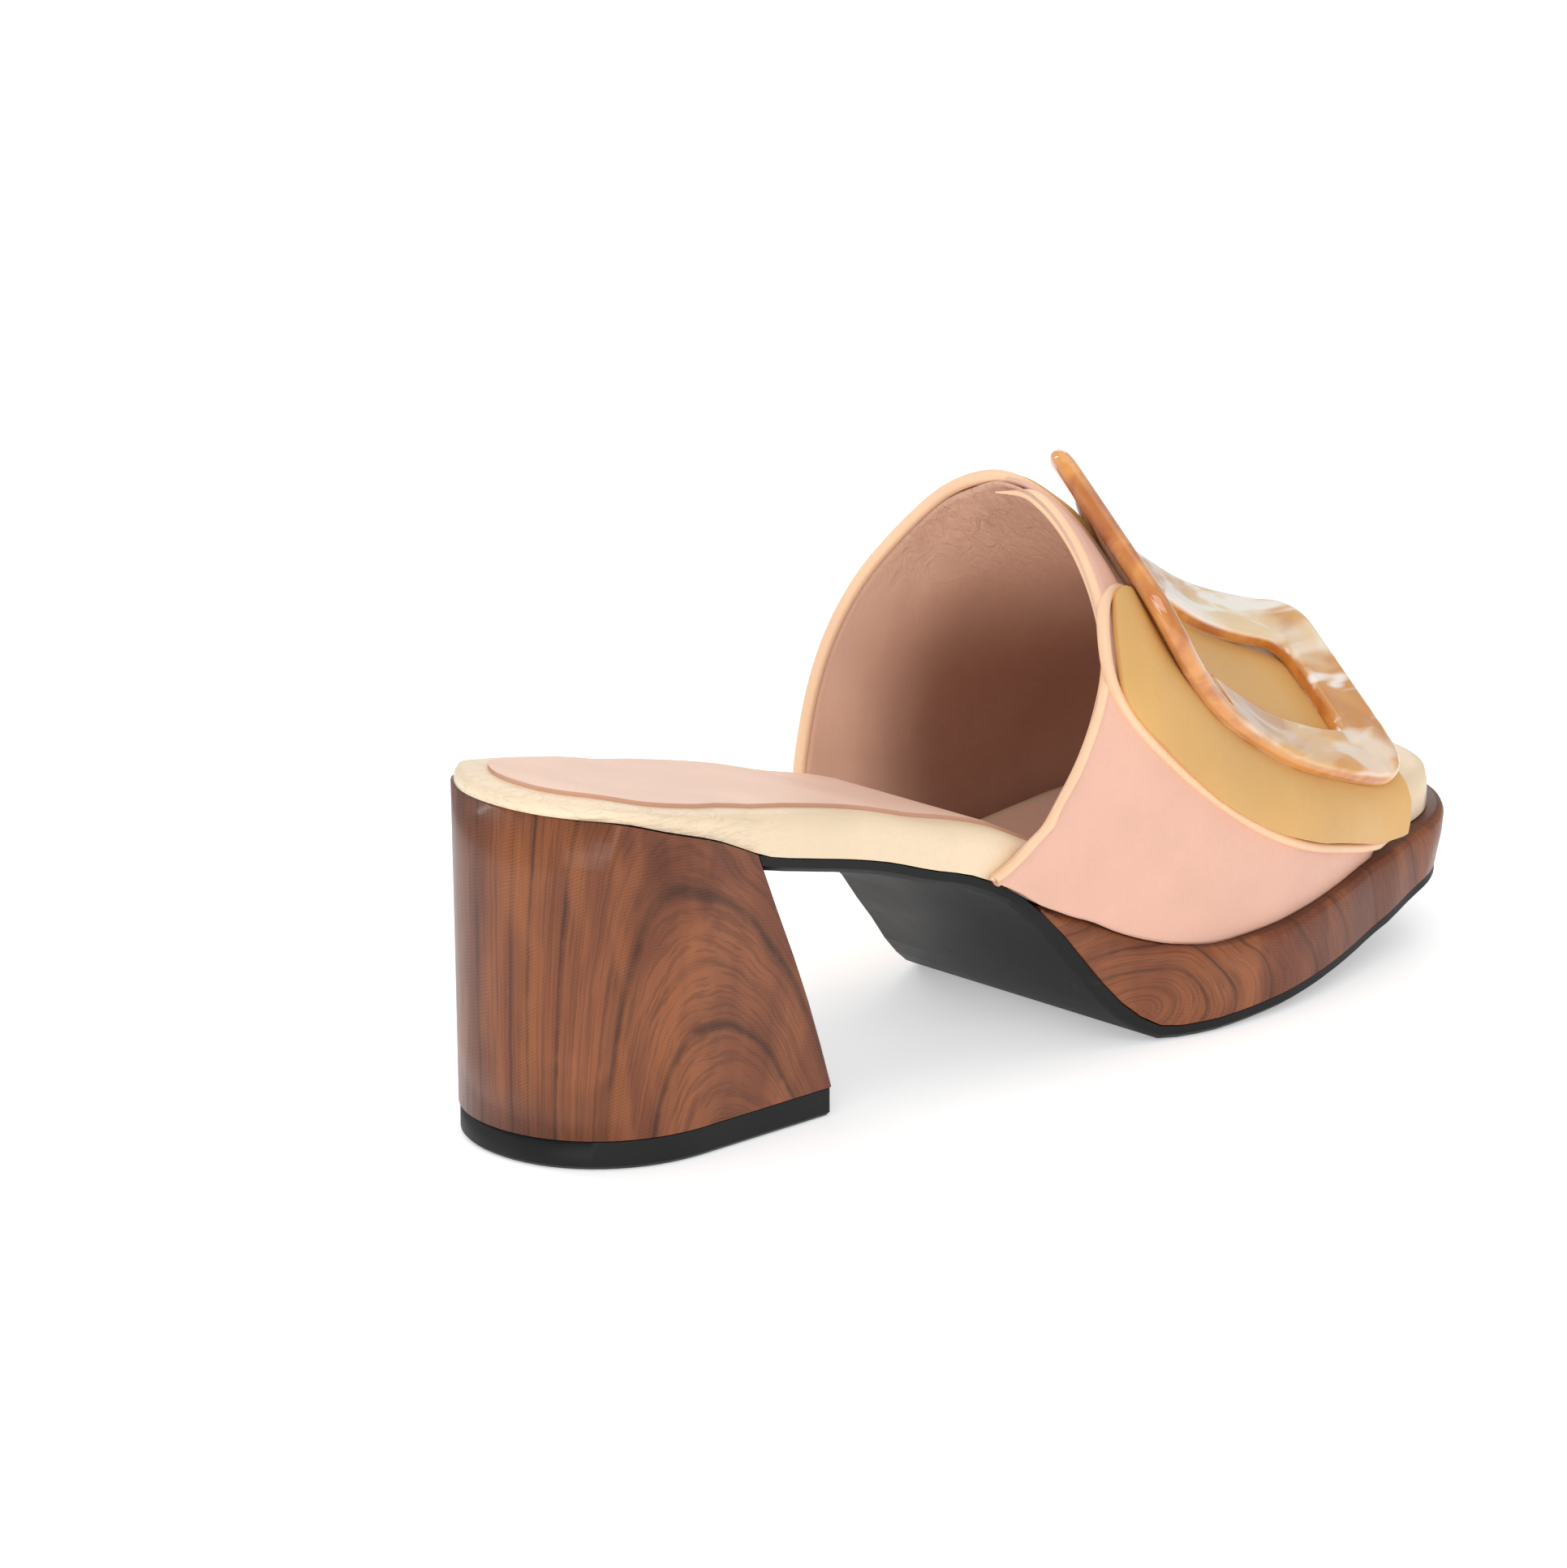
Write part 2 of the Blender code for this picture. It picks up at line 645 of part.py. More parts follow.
def band(around, rear, front, steps, outer, inner):
    """Closed loop round one strip of the wall: out over the top, back below."""
    places = [mix(rear, front, i / steps) for i in range(steps + 1)]
    over = [on_last(around, along) + last_normal(around, along) * outer for along in places]
    under = [on_last(around, along) - last_normal(around, along) * inner for along in reversed(places)]
    return over + under


def make_upper(finish):
    """Vamp and strap as one hollow body, the strap bonded over the crown."""
    rings = []
    for i in range(UPPER_COLUMNS + 1):
        around = i / UPPER_COLUMNS
        edges = COLLAR(around), TOE_EDGE(around)
        rings.append(band(around, *edges, UPPER_STEPS, 0.0, UPPER_WALL))
    upper = skin("upper", rings, finish)

    first, last = STRAP[0].around, STRAP[-1].around
    rings = []
    for i in range(STRAP_COLUMNS + 1):
        around = mix(first, last, i / STRAP_COLUMNS)
        edges = STRAP_REAR(around), STRAP_FRONT(around)
        spare = (last - around) / (last - first) / STRAP_FEATHER
        outer = STRAP_LAYER * mix(STRAP_THIN, 1.0, min(spare, 1.0))
        rings.append(band(around, *edges, STRAP_STEPS, outer, STRAP_ROOT))
    strap = skin("strap_layer", rings, finish)
    unite(upper, strap)
    return [upper, strap]


def unite(body, addition):
    """Join two closed bodies into one."""
    joint = body.modifiers.new("bond", "BOOLEAN")
    joint.operation = "UNION"
    joint.object = addition
    addition.hide_render = True
    addition.display_type = "WIRE"


def buckle_point(across, along, lift):
    """Point of the buckle: across and along in metres, lift square to its face."""
    share = along / BUCKLE_LENGTH

    def middle(s):
        return Vector((0.0, BUCKLE_LENGTH * PROFILE_Y(s), BUCKLE_LENGTH * PROFILE_Z(s)))

    step = 0.01
    tangent = (middle(share + step) - middle(share - step)).normalized()
    normal = BUCKLE_CROSSWISE.cross(tangent).normalized()
    return BUCKLE_FOOT + middle(share) + BUCKLE_CROSSWISE * across + normal * lift


def frame_line(inset, corner):
    """Rounded rectangle of the frame, as (across, along) places."""
    half = 0.5 * BUCKLE_WIDTH - inset
    low, high = inset, BUCKLE_LENGTH - inset
    centres = (
        (half - corner, high - corner, 0.0),
        (corner - half, high - corner, 90.0),
        (corner - half, low + corner, 180.0),
        (half - corner, low + corner, 270.0),
    )
    places = []
    for i, (x, y, start) in enumerate(centres):
        arc = []
        for k in range(CORNER_STEPS + 1):
            angle = math.radians(start + 90.0 * k / CORNER_STEPS)
            arc.append(Vector((x + corner * math.cos(angle), y + corner * math.sin(angle))))
        places += arc
        next_x, next_y, next_start = centres[(i + 1) % 4]
        angle = math.radians(next_start)
        target = Vector((next_x + corner * math.cos(angle), next_y + corner * math.sin(angle)))
        places += [arc[-1].lerp(target, k / BAR_STEPS) for k in range(1, BAR_STEPS)]
    return places


def make_buckle(finish):
    outer = frame_line(0.0, BUCKLE_CORNER)
    inner = frame_line(BUCKLE_BAR, BUCKLE_EYE_CORNER)
    half = 0.5 * BUCKLE_THICK
    rings = []
    for outside, inside in zip(outer, inner):
        loop = []
        for bar in BAR_SECTION:
            spot = outside.lerp(inside, bar.place)
            loop.append(buckle_point(spot.x, spot.y, half * bar.height))
        rings.append(loop)
    return skin("buckle", rings, finish, closed=True)


def main():
    for item in list(bpy.data.objects):
        bpy.data.objects.remove(item)
    finishes = {name: make_finish(name) for name in FINISHES}
    pieces = make_upper(finishes["pink_leather"]) + [
        make_top_piece(finishes["rubber"]),
        make_heel(finishes["wood"]),
        make_outsole(finishes["rubber"]),
        make_platform(finishes["wood"]),
        make_footbed(finishes["cream_leather"]),
        make_sock(finishes["sock_leather"]),
        make_buckle(finishes["resin"]),
    ]
    shoe = bpy.data.objects.new("shoe", None)
    bpy.context.scene.collection.objects.link(shoe)
    shoe.location = (0.0, -REST_POINT, 0.0)
    for piece in pieces:
        piece.parent = shoe


main()
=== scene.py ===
"""Looks of the platform mule: leathers, wood-print cover, rubber and marbled resin buckle."""
import math
from bisect import bisect_right
from collections import namedtuple

import bmesh
import bpy
from mathutils import Matrix, Vector, noise


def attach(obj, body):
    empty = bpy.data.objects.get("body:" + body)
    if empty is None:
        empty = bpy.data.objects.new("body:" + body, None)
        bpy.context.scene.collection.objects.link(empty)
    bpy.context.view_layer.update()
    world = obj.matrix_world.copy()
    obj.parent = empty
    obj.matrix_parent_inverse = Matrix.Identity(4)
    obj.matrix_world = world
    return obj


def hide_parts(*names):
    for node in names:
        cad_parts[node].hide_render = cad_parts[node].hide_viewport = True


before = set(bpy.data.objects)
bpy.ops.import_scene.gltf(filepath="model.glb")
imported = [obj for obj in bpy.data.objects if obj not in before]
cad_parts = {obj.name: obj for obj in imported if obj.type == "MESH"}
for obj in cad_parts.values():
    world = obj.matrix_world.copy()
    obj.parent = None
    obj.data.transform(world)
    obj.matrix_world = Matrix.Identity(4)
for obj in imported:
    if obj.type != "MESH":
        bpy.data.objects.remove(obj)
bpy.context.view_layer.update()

BODY = "root"
SHOE = Vector((0.0, -0.0320, 0.0))      # back of the footbed, in the row frame
SOLE_LENGTH = 0.2480
FOOTBED_WIDTH = 0.0755
FOREPART_HEIGHT = 0.0178
HEEL_RISE = 0.0700
TOE_SPRING = 0.0170
SPRING_START = 0.615
SPRING_POWER = 1.8
SPRING_SHARE = 0.80                     # the platform takes up the rest of the toe spring
UPPER_RISE = 0.0880
FIT_GAP = 0.0003
WALL = 0.0018
WALL_TOP = 0.15                         # share of the way around where the side wall turns in
LAST_STEP = 0.003
LINING = 0.0006
QUARTER_SKIN = 0.0001
QUARTER_THICK = 0.0010
QUARTER_END = 0.56
STRAP_LAYER = 0.0017
STRAP_THICK = 0.0014
STRAP_SOFT_EDGE = 0.0004
EDGE_TUCK = 0.004                       # leather edges stop short of the line under their binding
EDGE_SPREAD = 0.010
FLAP_CORNER = (0.09, 0.13)
STRAP_SINKS = (0.54, 0.66)
MEDIAL_COLLAR = (0.545, 0.60)
MEDIAL_TOE = (0.58, 0.66)
SOCK_INSET = 0.0009
SOCK_SEAM = 0.00012
SOCK_SLOPE = 0.0014
SOCK_PRESS = 0.00072
SOCK_SKIRT = 0.0010
BUCKLE_WIDTH = 0.0505
BUCKLE_LENGTH = 0.0920
BUCKLE_BAR = 0.0128
BUCKLE_THICK = 0.0044
BUCKLE_CORNER = 0.0085
BUCKLE_EYE_CORNER = 0.0045
BUCKLE_SOFT_EDGE = 0.0019
BUCKLE_FOOT = Vector((0.02020, 0.14679, 0.05560))
BUCKLE_CROSSWISE = Vector((0.800, -0.110, -0.590))
PROFILE_STEP = 0.01
PRESS_SOFTNESS = 0.0020
RIPPLE_HEIGHT = 0.0009
BINDING_WIDTH = 0.0022
BINDING_SKIN = 0.0005
BINDING_SQUARENESS = 2.6
BINDING_SPOTS = 240
BINDING_EASING = 24

Rung = namedtuple("Rung", "along lateral medial")
Last = namedtuple("Last", "along lateral medial wide crown power")
Cut = namedtuple("Cut", "around collar front")
Strap = namedtuple("Strap", "around rear front")
Sweep = namedtuple("Sweep", "along y z")
Height = namedtuple("Height", "y z")
Ring = namedtuple("Ring", "radius strength width")
Lamp = namedtuple("Lamp", "name place width height power")

FOOTBED_PLAN = (
    Rung(0.400, 0.408, 0.322),
    Rung(0.455, 0.420, 0.320),
    Rung(0.510, 0.447, 0.322),
    Rung(0.545, 0.470, 0.336),
    Rung(0.585, 0.496, 0.378),
    Rung(0.640, 0.517, 0.438),
    Rung(0.700, 0.517, 0.475),
    Rung(0.745, 0.502, 0.480),
    Rung(0.796, 0.469, 0.455),
    Rung(0.855, 0.424, 0.398),
    Rung(0.920, 0.408, 0.366),
)
UNDERSIDE = (
    Height(0.356, 0.527),
    Height(0.400, 0.464),
    Height(0.440, 0.371),
    Height(0.462, 0.303),
    Height(0.480, 0.263),
    Height(0.495, 0.230),
    Height(0.512, 0.199),
    Height(0.536, 0.140),
    Height(0.558, 0.096),
    Height(0.576, 0.067),
    Height(0.588, 0.050),
    Height(0.645, 0.006),
    Height(0.700, 0.000),
    Height(1.000, 0.000),
)
LAST = (
    Last(0.400, 0.008, 0.045, 0.090, 1.000, 2.20),
    Last(0.455, 0.018, 0.082, 0.180, 1.020, 2.20),
    Last(0.485, 0.032, 0.100, 0.205, 1.010, 2.20),
    Last(0.510, 0.040, 0.104, 0.225, 1.004, 2.20),
    Last(0.533, 0.048, 0.100, 0.238, 1.000, 2.20),
    Last(0.558, 0.050, 0.090, 0.240, 0.994, 2.16),
    Last(0.586, 0.046, 0.076, 0.232, 0.955, 2.06),
    Last(0.626, 0.040, 0.060, 0.210, 0.888, 1.94),
    Last(0.695, 0.034, 0.040, 0.172, 0.735, 1.84),
    Last(0.776, 0.030, 0.026, 0.152, 0.545, 1.82),
    Last(0.848, 0.026, 0.018, 0.128, 0.425, 1.86),
    Last(0.910, 0.020, 0.012, 0.104, 0.355, 1.90),
)
EDGES = (
    Cut(0.000, 0.412, 0.853),
    Cut(0.080, 0.440, 0.860),
    Cut(0.150, 0.466, 0.864),
    Cut(0.180, 0.490, 0.865),
    Cut(0.215, 0.511, 0.865),
    Cut(0.270, 0.531, 0.864),
    Cut(0.345, 0.540, 0.863),
    Cut(0.420, 0.547, 0.864),
    Cut(0.500, 0.558, 0.865),
    Cut(0.557, 0.564, 0.863),
    Cut(0.620, 0.553, 0.860),
    Cut(0.680, 0.535, 0.857),
    Cut(0.724, 0.514, 0.854),
    Cut(0.771, 0.489, 0.850),
    Cut(0.820, 0.466, 0.846),
    Cut(0.850, 0.456, 0.843),
    Cut(0.900, 0.450, 0.838),
    Cut(0.950, 0.461, 0.834),
    Cut(1.000, 0.474, 0.830),
)
STRAP = (
    Strap(0.042, 0.879, 0.890),
    Strap(0.056, 0.857, 0.890),
    Strap(0.072, 0.836, 0.890),
    Strap(0.105, 0.804, 0.889),
    Strap(0.140, 0.762, 0.889),
    Strap(0.168, 0.714, 0.886),
    Strap(0.184, 0.668, 0.884),
    Strap(0.195, 0.622, 0.882),
    Strap(0.205, 0.580, 0.880),
    Strap(0.217, 0.545, 0.878),
    Strap(0.236, 0.528, 0.874),
    Strap(0.262, 0.529, 0.868),
    Strap(0.300, 0.537, 0.862),
    Strap(0.328, 0.552, 0.858),
    Strap(0.348, 0.596, 0.852),
    Strap(0.370, 0.617, 0.846),
    Strap(0.400, 0.618, 0.846),
    Strap(0.430, 0.612, 0.852),
    Strap(0.465, 0.585, 0.862),
    Strap(0.500, 0.568, 0.868),
    Strap(0.560, 0.566, 0.866),
    Strap(0.640, 0.552, 0.862),
)
BUCKLE_PROFILE = (
    Sweep(0.000, 0.000, 0.518),
    Sweep(0.092, 0.047, 0.438),
    Sweep(0.174, 0.092, 0.370),
    Sweep(0.314, 0.182, 0.263),
    Sweep(0.491, 0.325, 0.159),
    Sweep(0.606, 0.425, 0.102),
    Sweep(0.753, 0.563, 0.049),
    Sweep(0.930, 0.734, 0.004),
    Sweep(1.000, 0.804, 0.000),
)


def smooth(rows, column):
    """Monotone cubic through one column of a table."""
    xs = [row[0] for row in rows]
    ys = [getattr(row, column) for row in rows]
    secants = [(b - a) / (q - p) for p, q, a, b in zip(xs, xs[1:], ys, ys[1:])]
    slopes = [secants[0]]
    for left, right in zip(secants, secants[1:]):
        slopes.append(0.0 if left * right <= 0.0 else 2.0 * left * right / (left + right))
    slopes.append(secants[-1])

    def value(x):
        x = min(max(x, xs[0]), xs[-1])
        i = min(bisect_right(xs, x) - 1, len(xs) - 2)
        run = xs[i + 1] - xs[i]
        t = (x - xs[i]) / run
        start = ys[i] * (1.0 + 2.0 * t) + slopes[i] * run * t
        end = ys[i + 1] * (3.0 - 2.0 * t) + slopes[i + 1] * run * (t - 1.0)
        return start * (1.0 - t) ** 2 + end * t ** 2

    return value


PLAN_LATERAL = smooth(FOOTBED_PLAN, "lateral")
PLAN_MEDIAL = smooth(FOOTBED_PLAN, "medial")
RISE = smooth(UNDERSIDE, "z")
LAST_LATERAL = smooth(LAST, "lateral")
LAST_MEDIAL = smooth(LAST, "medial")
LAST_WIDE = smooth(LAST, "wide")
LAST_CROWN = smooth(LAST, "crown")
LAST_POWER = smooth(LAST, "power")
COLLAR = smooth(EDGES, "collar")
TOE_EDGE = smooth(EDGES, "front")
STRAP_REAR = smooth(STRAP, "rear")
STRAP_FRONT = smooth(STRAP, "front")
PROFILE_Y = smooth(BUCKLE_PROFILE, "y")
PROFILE_Z = smooth(BUCKLE_PROFILE, "z")
PROFILE_HEIGHT = smooth([Height(row.y, row.z) for row in BUCKLE_PROFILE], "z")


def mix(start, end, share):
    return start + (end - start) * share


def ease(value, low, high):
    """Smooth step from 0 at low to 1 at high."""
    share = min(max((value - low) / (high - low), 0.0), 1.0)
    return share * share * (3.0 - 2.0 * share)


def seat(y):
    """Underside of the footbed."""
    share = y / SOLE_LENGTH
    spring = TOE_SPRING * max((share - SPRING_START) / (1.0 - SPRING_START), 0.0) ** SPRING_POWER
    return mix(FOREPART_HEIGHT, HEEL_RISE, RISE(share)) + SPRING_SHARE * spring


def inside_profile(forward):
    return min(max(forward, PROFILE_STEP), BUCKLE_PROFILE[-1].y - PROFILE_STEP)


def buckle_slope(forward):
    """Slope of the buckle's profile at a share of its length."""
    rise = PROFILE_HEIGHT(forward + PROFILE_STEP) - PROFILE_HEIGHT(forward - PROFILE_STEP)
    return rise / (2.0 * PROFILE_STEP)


def buckle_normal(slope):
    return BUCKLE_CROSSWISE.cross(Vector((0.0, 1.0, slope))).normalized()


def pressed(point):
    """Push a point of the last below the buckle, which flattens the vamp under it."""
    across = (point.x - BUCKLE_FOOT.x) / BUCKLE_CROSSWISE.x
    local = point - BUCKLE_FOOT - BUCKLE_CROSSWISE * across
    forward = local.y / BUCKLE_LENGTH
    inside = inside_profile(forward)
    slope = buckle_slope(inside)
    height = PROFILE_HEIGHT(inside) + slope * (forward - inside)
    normal = buckle_normal(slope)
    above = (local.z - BUCKLE_LENGTH * height) * normal.z
    over = above + 0.5 * BUCKLE_THICK + FIT_GAP + STRAP_LAYER
    return point - normal * 0.5 * (over + math.hypot(over, PRESS_SOFTNESS))


def last_point(around, along):
    """Point on the outer face of the upper: around 0 is the lateral sole line, 1 the medial."""
    y = along * SOLE_LENGTH
    right = around < 0.5
    turn = around if right else 1.0 - around
    side = 1.0 if right else -1.0
    plan, bulge = (PLAN_LATERAL, LAST_LATERAL) if right else (PLAN_MEDIAL, LAST_MEDIAL)
    foot = FOOTBED_WIDTH * plan(along) + FIT_GAP + WALL
    wide = foot + FOOTBED_WIDTH * bulge(along)
    low = seat(y)
    middle = low + UPPER_RISE * LAST_WIDE(along)
    crown = low + UPPER_RISE * LAST_CROWN(along)
    if turn < WALL_TOP:
        share = turn / WALL_TOP
        x = mix(foot, wide, math.sin(0.5 * math.pi * share))
        return pressed(Vector((side * x, y, mix(low, middle, share))))
    angle = 0.5 * math.pi * (turn - WALL_TOP) / (0.5 - WALL_TOP)
    exponent = 2.0 / LAST_POWER(along)
    x = wide * max(math.cos(angle), 0.0) ** exponent
    z = middle + (crown - middle) * math.sin(angle) ** exponent
    return pressed(Vector((side * x, y, z)))


def last_frame(around, along):
    """Point on the last and its outward normal."""
    low, high = max(around - LAST_STEP, 0.0), min(around + LAST_STEP, 1.0)
    across = last_point(high, along) - last_point(low, along)
    forward = last_point(around, along + LAST_STEP) - last_point(around, along - LAST_STEP)
    return last_point(around, along), forward.cross(across).normalized()


def layer_point(around, along, lift):
    """Point at a height over the last."""
    point, normal = last_frame(around, along)
    return point + normal * lift


def strap_lift(around):
    """Height of the mustard strap's outer face over the last."""
    return mix(QUARTER_SKIN, STRAP_LAYER, 1.0 - ease(around, *STRAP_SINKS))


def strap_rear(around):
    """Rear edge of the strap: its own line over the foot, the collar on the medial wall."""
    spread = EDGE_SPREAD * ease(around, *FLAP_CORNER)
    places = [around + spread * step / 3.0 for step in range(-3, 4)]
    line = sum(STRAP_REAR(place) for place in places) / len(places)
    return mix(line, COLLAR(around), ease(around, *MEDIAL_COLLAR))


def strap_front(around):
    return mix(STRAP_FRONT(around), TOE_EDGE(around), ease(around, *MEDIAL_TOE))


def add_piece(name, work, material, place=(0.0, 0.0, 0.0), crease=None):
    """Smooth piece of a bmesh, riding on the shoe, with its material and slot."""
    mesh = bpy.data.meshes.new(name)
    work.to_mesh(mesh)
    work.free()
    mesh.transform(Matrix.Translation(place))
    mesh.shade_smooth()
    if crease is not None:
        mesh.set_sharp_from_angle(angle=math.radians(crease))
    mesh.materials.append(material)
    piece = bpy.data.objects.new(name, mesh)
    bpy.context.scene.collection.objects.link(piece)
    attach(piece, BODY)
    return piece


def finish_piece(name, work, material, crease=None):
    """Piece modelled from the back of the footbed, set in its place on the shoe."""
    bmesh.ops.recalc_face_normals(work, faces=work.faces)
    return add_piece(name, work, material, SHOE, crease)


def woven(columns, rows, place, joined=False):
    """Grid whose vertices are moved to place(u, v). Its own u and v go to its UV map."""
    work = bmesh.new()
    bmesh.ops.create_grid(work, x_segments=columns, y_segments=rows, size=0.5, calc_uvs=True)
    layer = work.loops.layers.uv.verify()
    for face in work.faces:
        for loop in face.loops:
            loop[layer].uv = (loop.vert.co.x + 0.5, loop.vert.co.y + 0.5)
    for vert in work.verts:
        vert.co = place(vert.co.x + 0.5, vert.co.y + 0.5)
    if joined:
        bmesh.ops.remove_doubles(work, verts=work.verts, dist=1e-6)
    return work


def thicken(piece, thickness):
    """Give a surface its wall, inwards."""
    wall = piece.modifiers.new("wall", "SOLIDIFY")
    wall.thickness = thickness
    wall.offset = -1.0
    wall.use_even_offset = False


def soften(piece, width):
    """Round the cut edges."""
    bevel = piece.modifiers.new("rounded edge", "BEVEL")
    bevel.width = width
    bevel.segments = 3
    bevel.limit_method = "ANGLE"
    bevel.angle_limit = math.radians(40.0)
    bevel.harden_normals = False


def dressed(node, name, material):
    """Smooth copy of a CAD node, with its triangles merged."""
    work = bmesh.new()
    work.from_mesh(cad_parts[node].data)
    bmesh.ops.remove_doubles(work, verts=work.verts, dist=1e-5)
    bmesh.ops.dissolve_degenerate(work, edges=work.edges, dist=1e-6)
    piece = add_piece(name, work, material, crease=35.0)
    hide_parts(node)
    return piece


class Wire:
    """A node's output that takes part in Python arithmetic."""

    def __init__(self, recipe, socket):
        self.recipe = recipe
        self.socket = socket

    def _sum(self, operation, *values):
        return self.recipe.add("ShaderNodeMath", {"operation": operation}, *values)

    def __add__(self, other):
        return self._sum("ADD", self, other)

    def __radd__(self, other):
        return self._sum("ADD", other, self)

    def __sub__(self, other):
        return self._sum("SUBTRACT", self, other)

    def __rsub__(self, other):
        return self._sum("SUBTRACT", other, self)

    def __mul__(self, other):
        return self._sum("MULTIPLY", self, other)

    def __rmul__(self, other):
        return self._sum("MULTIPLY", other, self)

    def __pow__(self, other):
        return self._sum("POWER", self, other)

    def __rpow__(self, other):
        return self._sum("POWER", other, self)

    def sine(self):
        return self._sum("SINE", self)

    def size(self):
        return self._sum("ABSOLUTE", self)

    def clamped(self):
        return self.recipe.add("ShaderNodeClamp", {}, self, 0.0, 1.0)

    def spread(self, low, high, start=0.0, end=1.0):
        """Smooth step of the value from low to high, on start to end."""
        settings = {"interpolation_type": "SMOOTHSTEP"}
        return self.recipe.add("ShaderNodeMapRange", settings, self, low, high, start, end)


COLOUR_RESULT = 2       # output of a Mix node that is set to colours


class Recipe:
    """Node tree of one material."""

    def __init__(self, name, **constants):
        self.material = bpy.data.materials.new(name)
        self.material.use_nodes = True
        self.tree = self.material.node_tree
        self.shader = self.tree.nodes["Principled BSDF"]
        for socket, value in constants.items():
            self.shader.inputs[socket.replace("_", " ")].default_value = value

    def add(self, kind, settings, *values, output=0, **named):
        """One node: its settings first, then its sockets by order or by name."""
        node = self.tree.nodes.new(kind)
        for key, value in settings.items():
            setattr(node, key, value)
        pairs = list(zip([socket for socket in node.inputs if socket.enabled], values))
        pairs += [(node.inputs[key.replace("_", " ")], value) for key, value in named.items()]
        for socket, value in pairs:
            if isinstance(value, Wire):
                self.tree.links.new(value.socket, socket)
            elif value is not None:
                socket.default_value = value
        return Wire(self, node.outputs[output])

    def place(self, scale=(1.0, 1.0, 1.0), turn=(0.0, 0.0, 0.0)):
        """Object coordinates through a Mapping node."""
        where = self.add("ShaderNodeTexCoord", {}, output="Object")
        return self.add("ShaderNodeMapping", {}, Vector=where, Rotation=turn, Scale=scale)

    def axes(self, where):
        parts = self.tree.nodes.new("ShaderNodeSeparateXYZ")
        self.tree.links.new(where.socket, parts.inputs[0])
        return [Wire(self, out) for out in parts.outputs]

    def noise(self, where, scale, detail=3.0, roughness=0.5, distortion=0.0):
        return self.add("ShaderNodeTexNoise", {}, Vector=where, Scale=scale, Detail=detail,
                        Roughness=roughness, Distortion=distortion)

    def blend(self, share, first, second):
        """Mix two colours."""
        colours = [value if isinstance(value, Wire) else (*value, 1.0) for value in (first, second)]
        return self.add("ShaderNodeMix", {"data_type": "RGBA"}, share, *colours, output=COLOUR_RESULT)

    def bump(self, height, distance, strength=1.0, below=None):
        named = {"Height": height, "Distance": distance, "Strength": strength}
        if below is not None:
            named["Normal"] = below
        return self.add("ShaderNodeBump", {}, **named)

    def feed(self, **wires):
        for socket, value in wires.items():
            self.tree.links.new(value.socket, self.shader.inputs[socket.replace("_", " ")])
        return self.material


def linear(red, green, blue):
    """Scene-linear colour of a colour picked from a screen, 0 to 255."""
    shares = [value / 255.0 for value in (red, green, blue)]
    return tuple(s / 12.92 if s <= 0.04045 else ((s + 0.055) / 1.055) ** 2.4 for s in shares)


def shaded(colour, factor):
    return tuple(value * factor for value in colour)


def leather(name, colour, roughness=0.42, creases=0.0):
    """Smooth finished leather: fine pebbled grain, faint mottling and soft undulation."""
    recipe = Recipe(name, Specular_IOR_Level=0.38)
    where = recipe.place()
    soft = recipe.noise(where, 45.0, 3.0)
    fine = recipe.noise(where, 900.0, 2.0)
    tone = recipe.blend(soft.spread(0.30, 0.70), shaded(colour, 0.94), shaded(colour, 1.024))
    tone = recipe.blend(fine.spread(0.45, 0.60) * 0.06, tone, shaded(colour, 0.80))
    pores = recipe.add("ShaderNodeTexVoronoi", {"feature": "SMOOTH_F1"}, Vector=where, Scale=1500.0)
    swell = recipe.bump(soft, 0.0006, 0.30)
    surface = recipe.bump(pores * 0.7 + fine * 0.5, 0.00006, 0.8, swell)
    if creases:
        stretched = recipe.place(scale=(1.0, 0.45, 3.2))
        wrinkle = recipe.noise(stretched, 330.0, 3.0, 0.55, 0.8)
        near = 1.0 - recipe.axes(where)[1].spread(-0.005, 0.030)
        surface = recipe.bump(wrinkle.spread(0.46, 0.62) * near, creases, 0.55, surface)
    rough = roughness + (soft - 0.5) * 0.10 + (fine - 0.5) * 0.08
    return recipe.feed(Base_Color=tone, Roughness=rough, Normal=surface)


def lining_leather():
    """Lining: painted shade towards the toe and the apex, wrinkled near the apex, softly dented."""
    colour = linear(246, 206, 182)
    recipe = Recipe("lining leather", Specular_IOR_Level=0.35)
    where = recipe.place()
    x, y, z = recipe.axes(where)
    soft = recipe.noise(where, 38.0, 3.0)
    fine = recipe.noise(where, 700.0, 2.0)
    tone = recipe.blend(soft.spread(0.3, 0.7), shaded(colour, 0.92), shaded(colour, 1.04))
    # Painted shade: darker deep inside the vamp, towards the toe and low down.
    deep = y.spread(0.082, 0.128) * (1.0 - z.spread(0.055, 0.105))
    tone = recipe.blend(deep * 0.82, tone, linear(128, 72, 48))
    # Painted shade: darker high up, towards the apex.
    tone = recipe.blend(z.spread(0.082, 0.106) * 0.40, tone, linear(170, 120, 98))
    near_apex = z.spread(0.076, 0.100) * (1.0 - x.spread(0.006, 0.022))
    stretched = recipe.place(scale=(2.2, 1.0, 0.5), turn=(0.0, 0.35, 0.0))
    wrinkle = recipe.noise(stretched, 210.0, 4.0, 0.6, 1.2)
    surface = recipe.bump(fine, 0.00008, 0.6)
    surface = recipe.bump(wrinkle * (near_apex + 0.10), 0.0011, 0.8, surface)
    surface = recipe.bump(soft, 0.0022, 0.35, surface)
    rough = 0.40 + (soft - 0.5) * 0.16
    return recipe.feed(Base_Color=tone, Roughness=rough, Normal=surface)


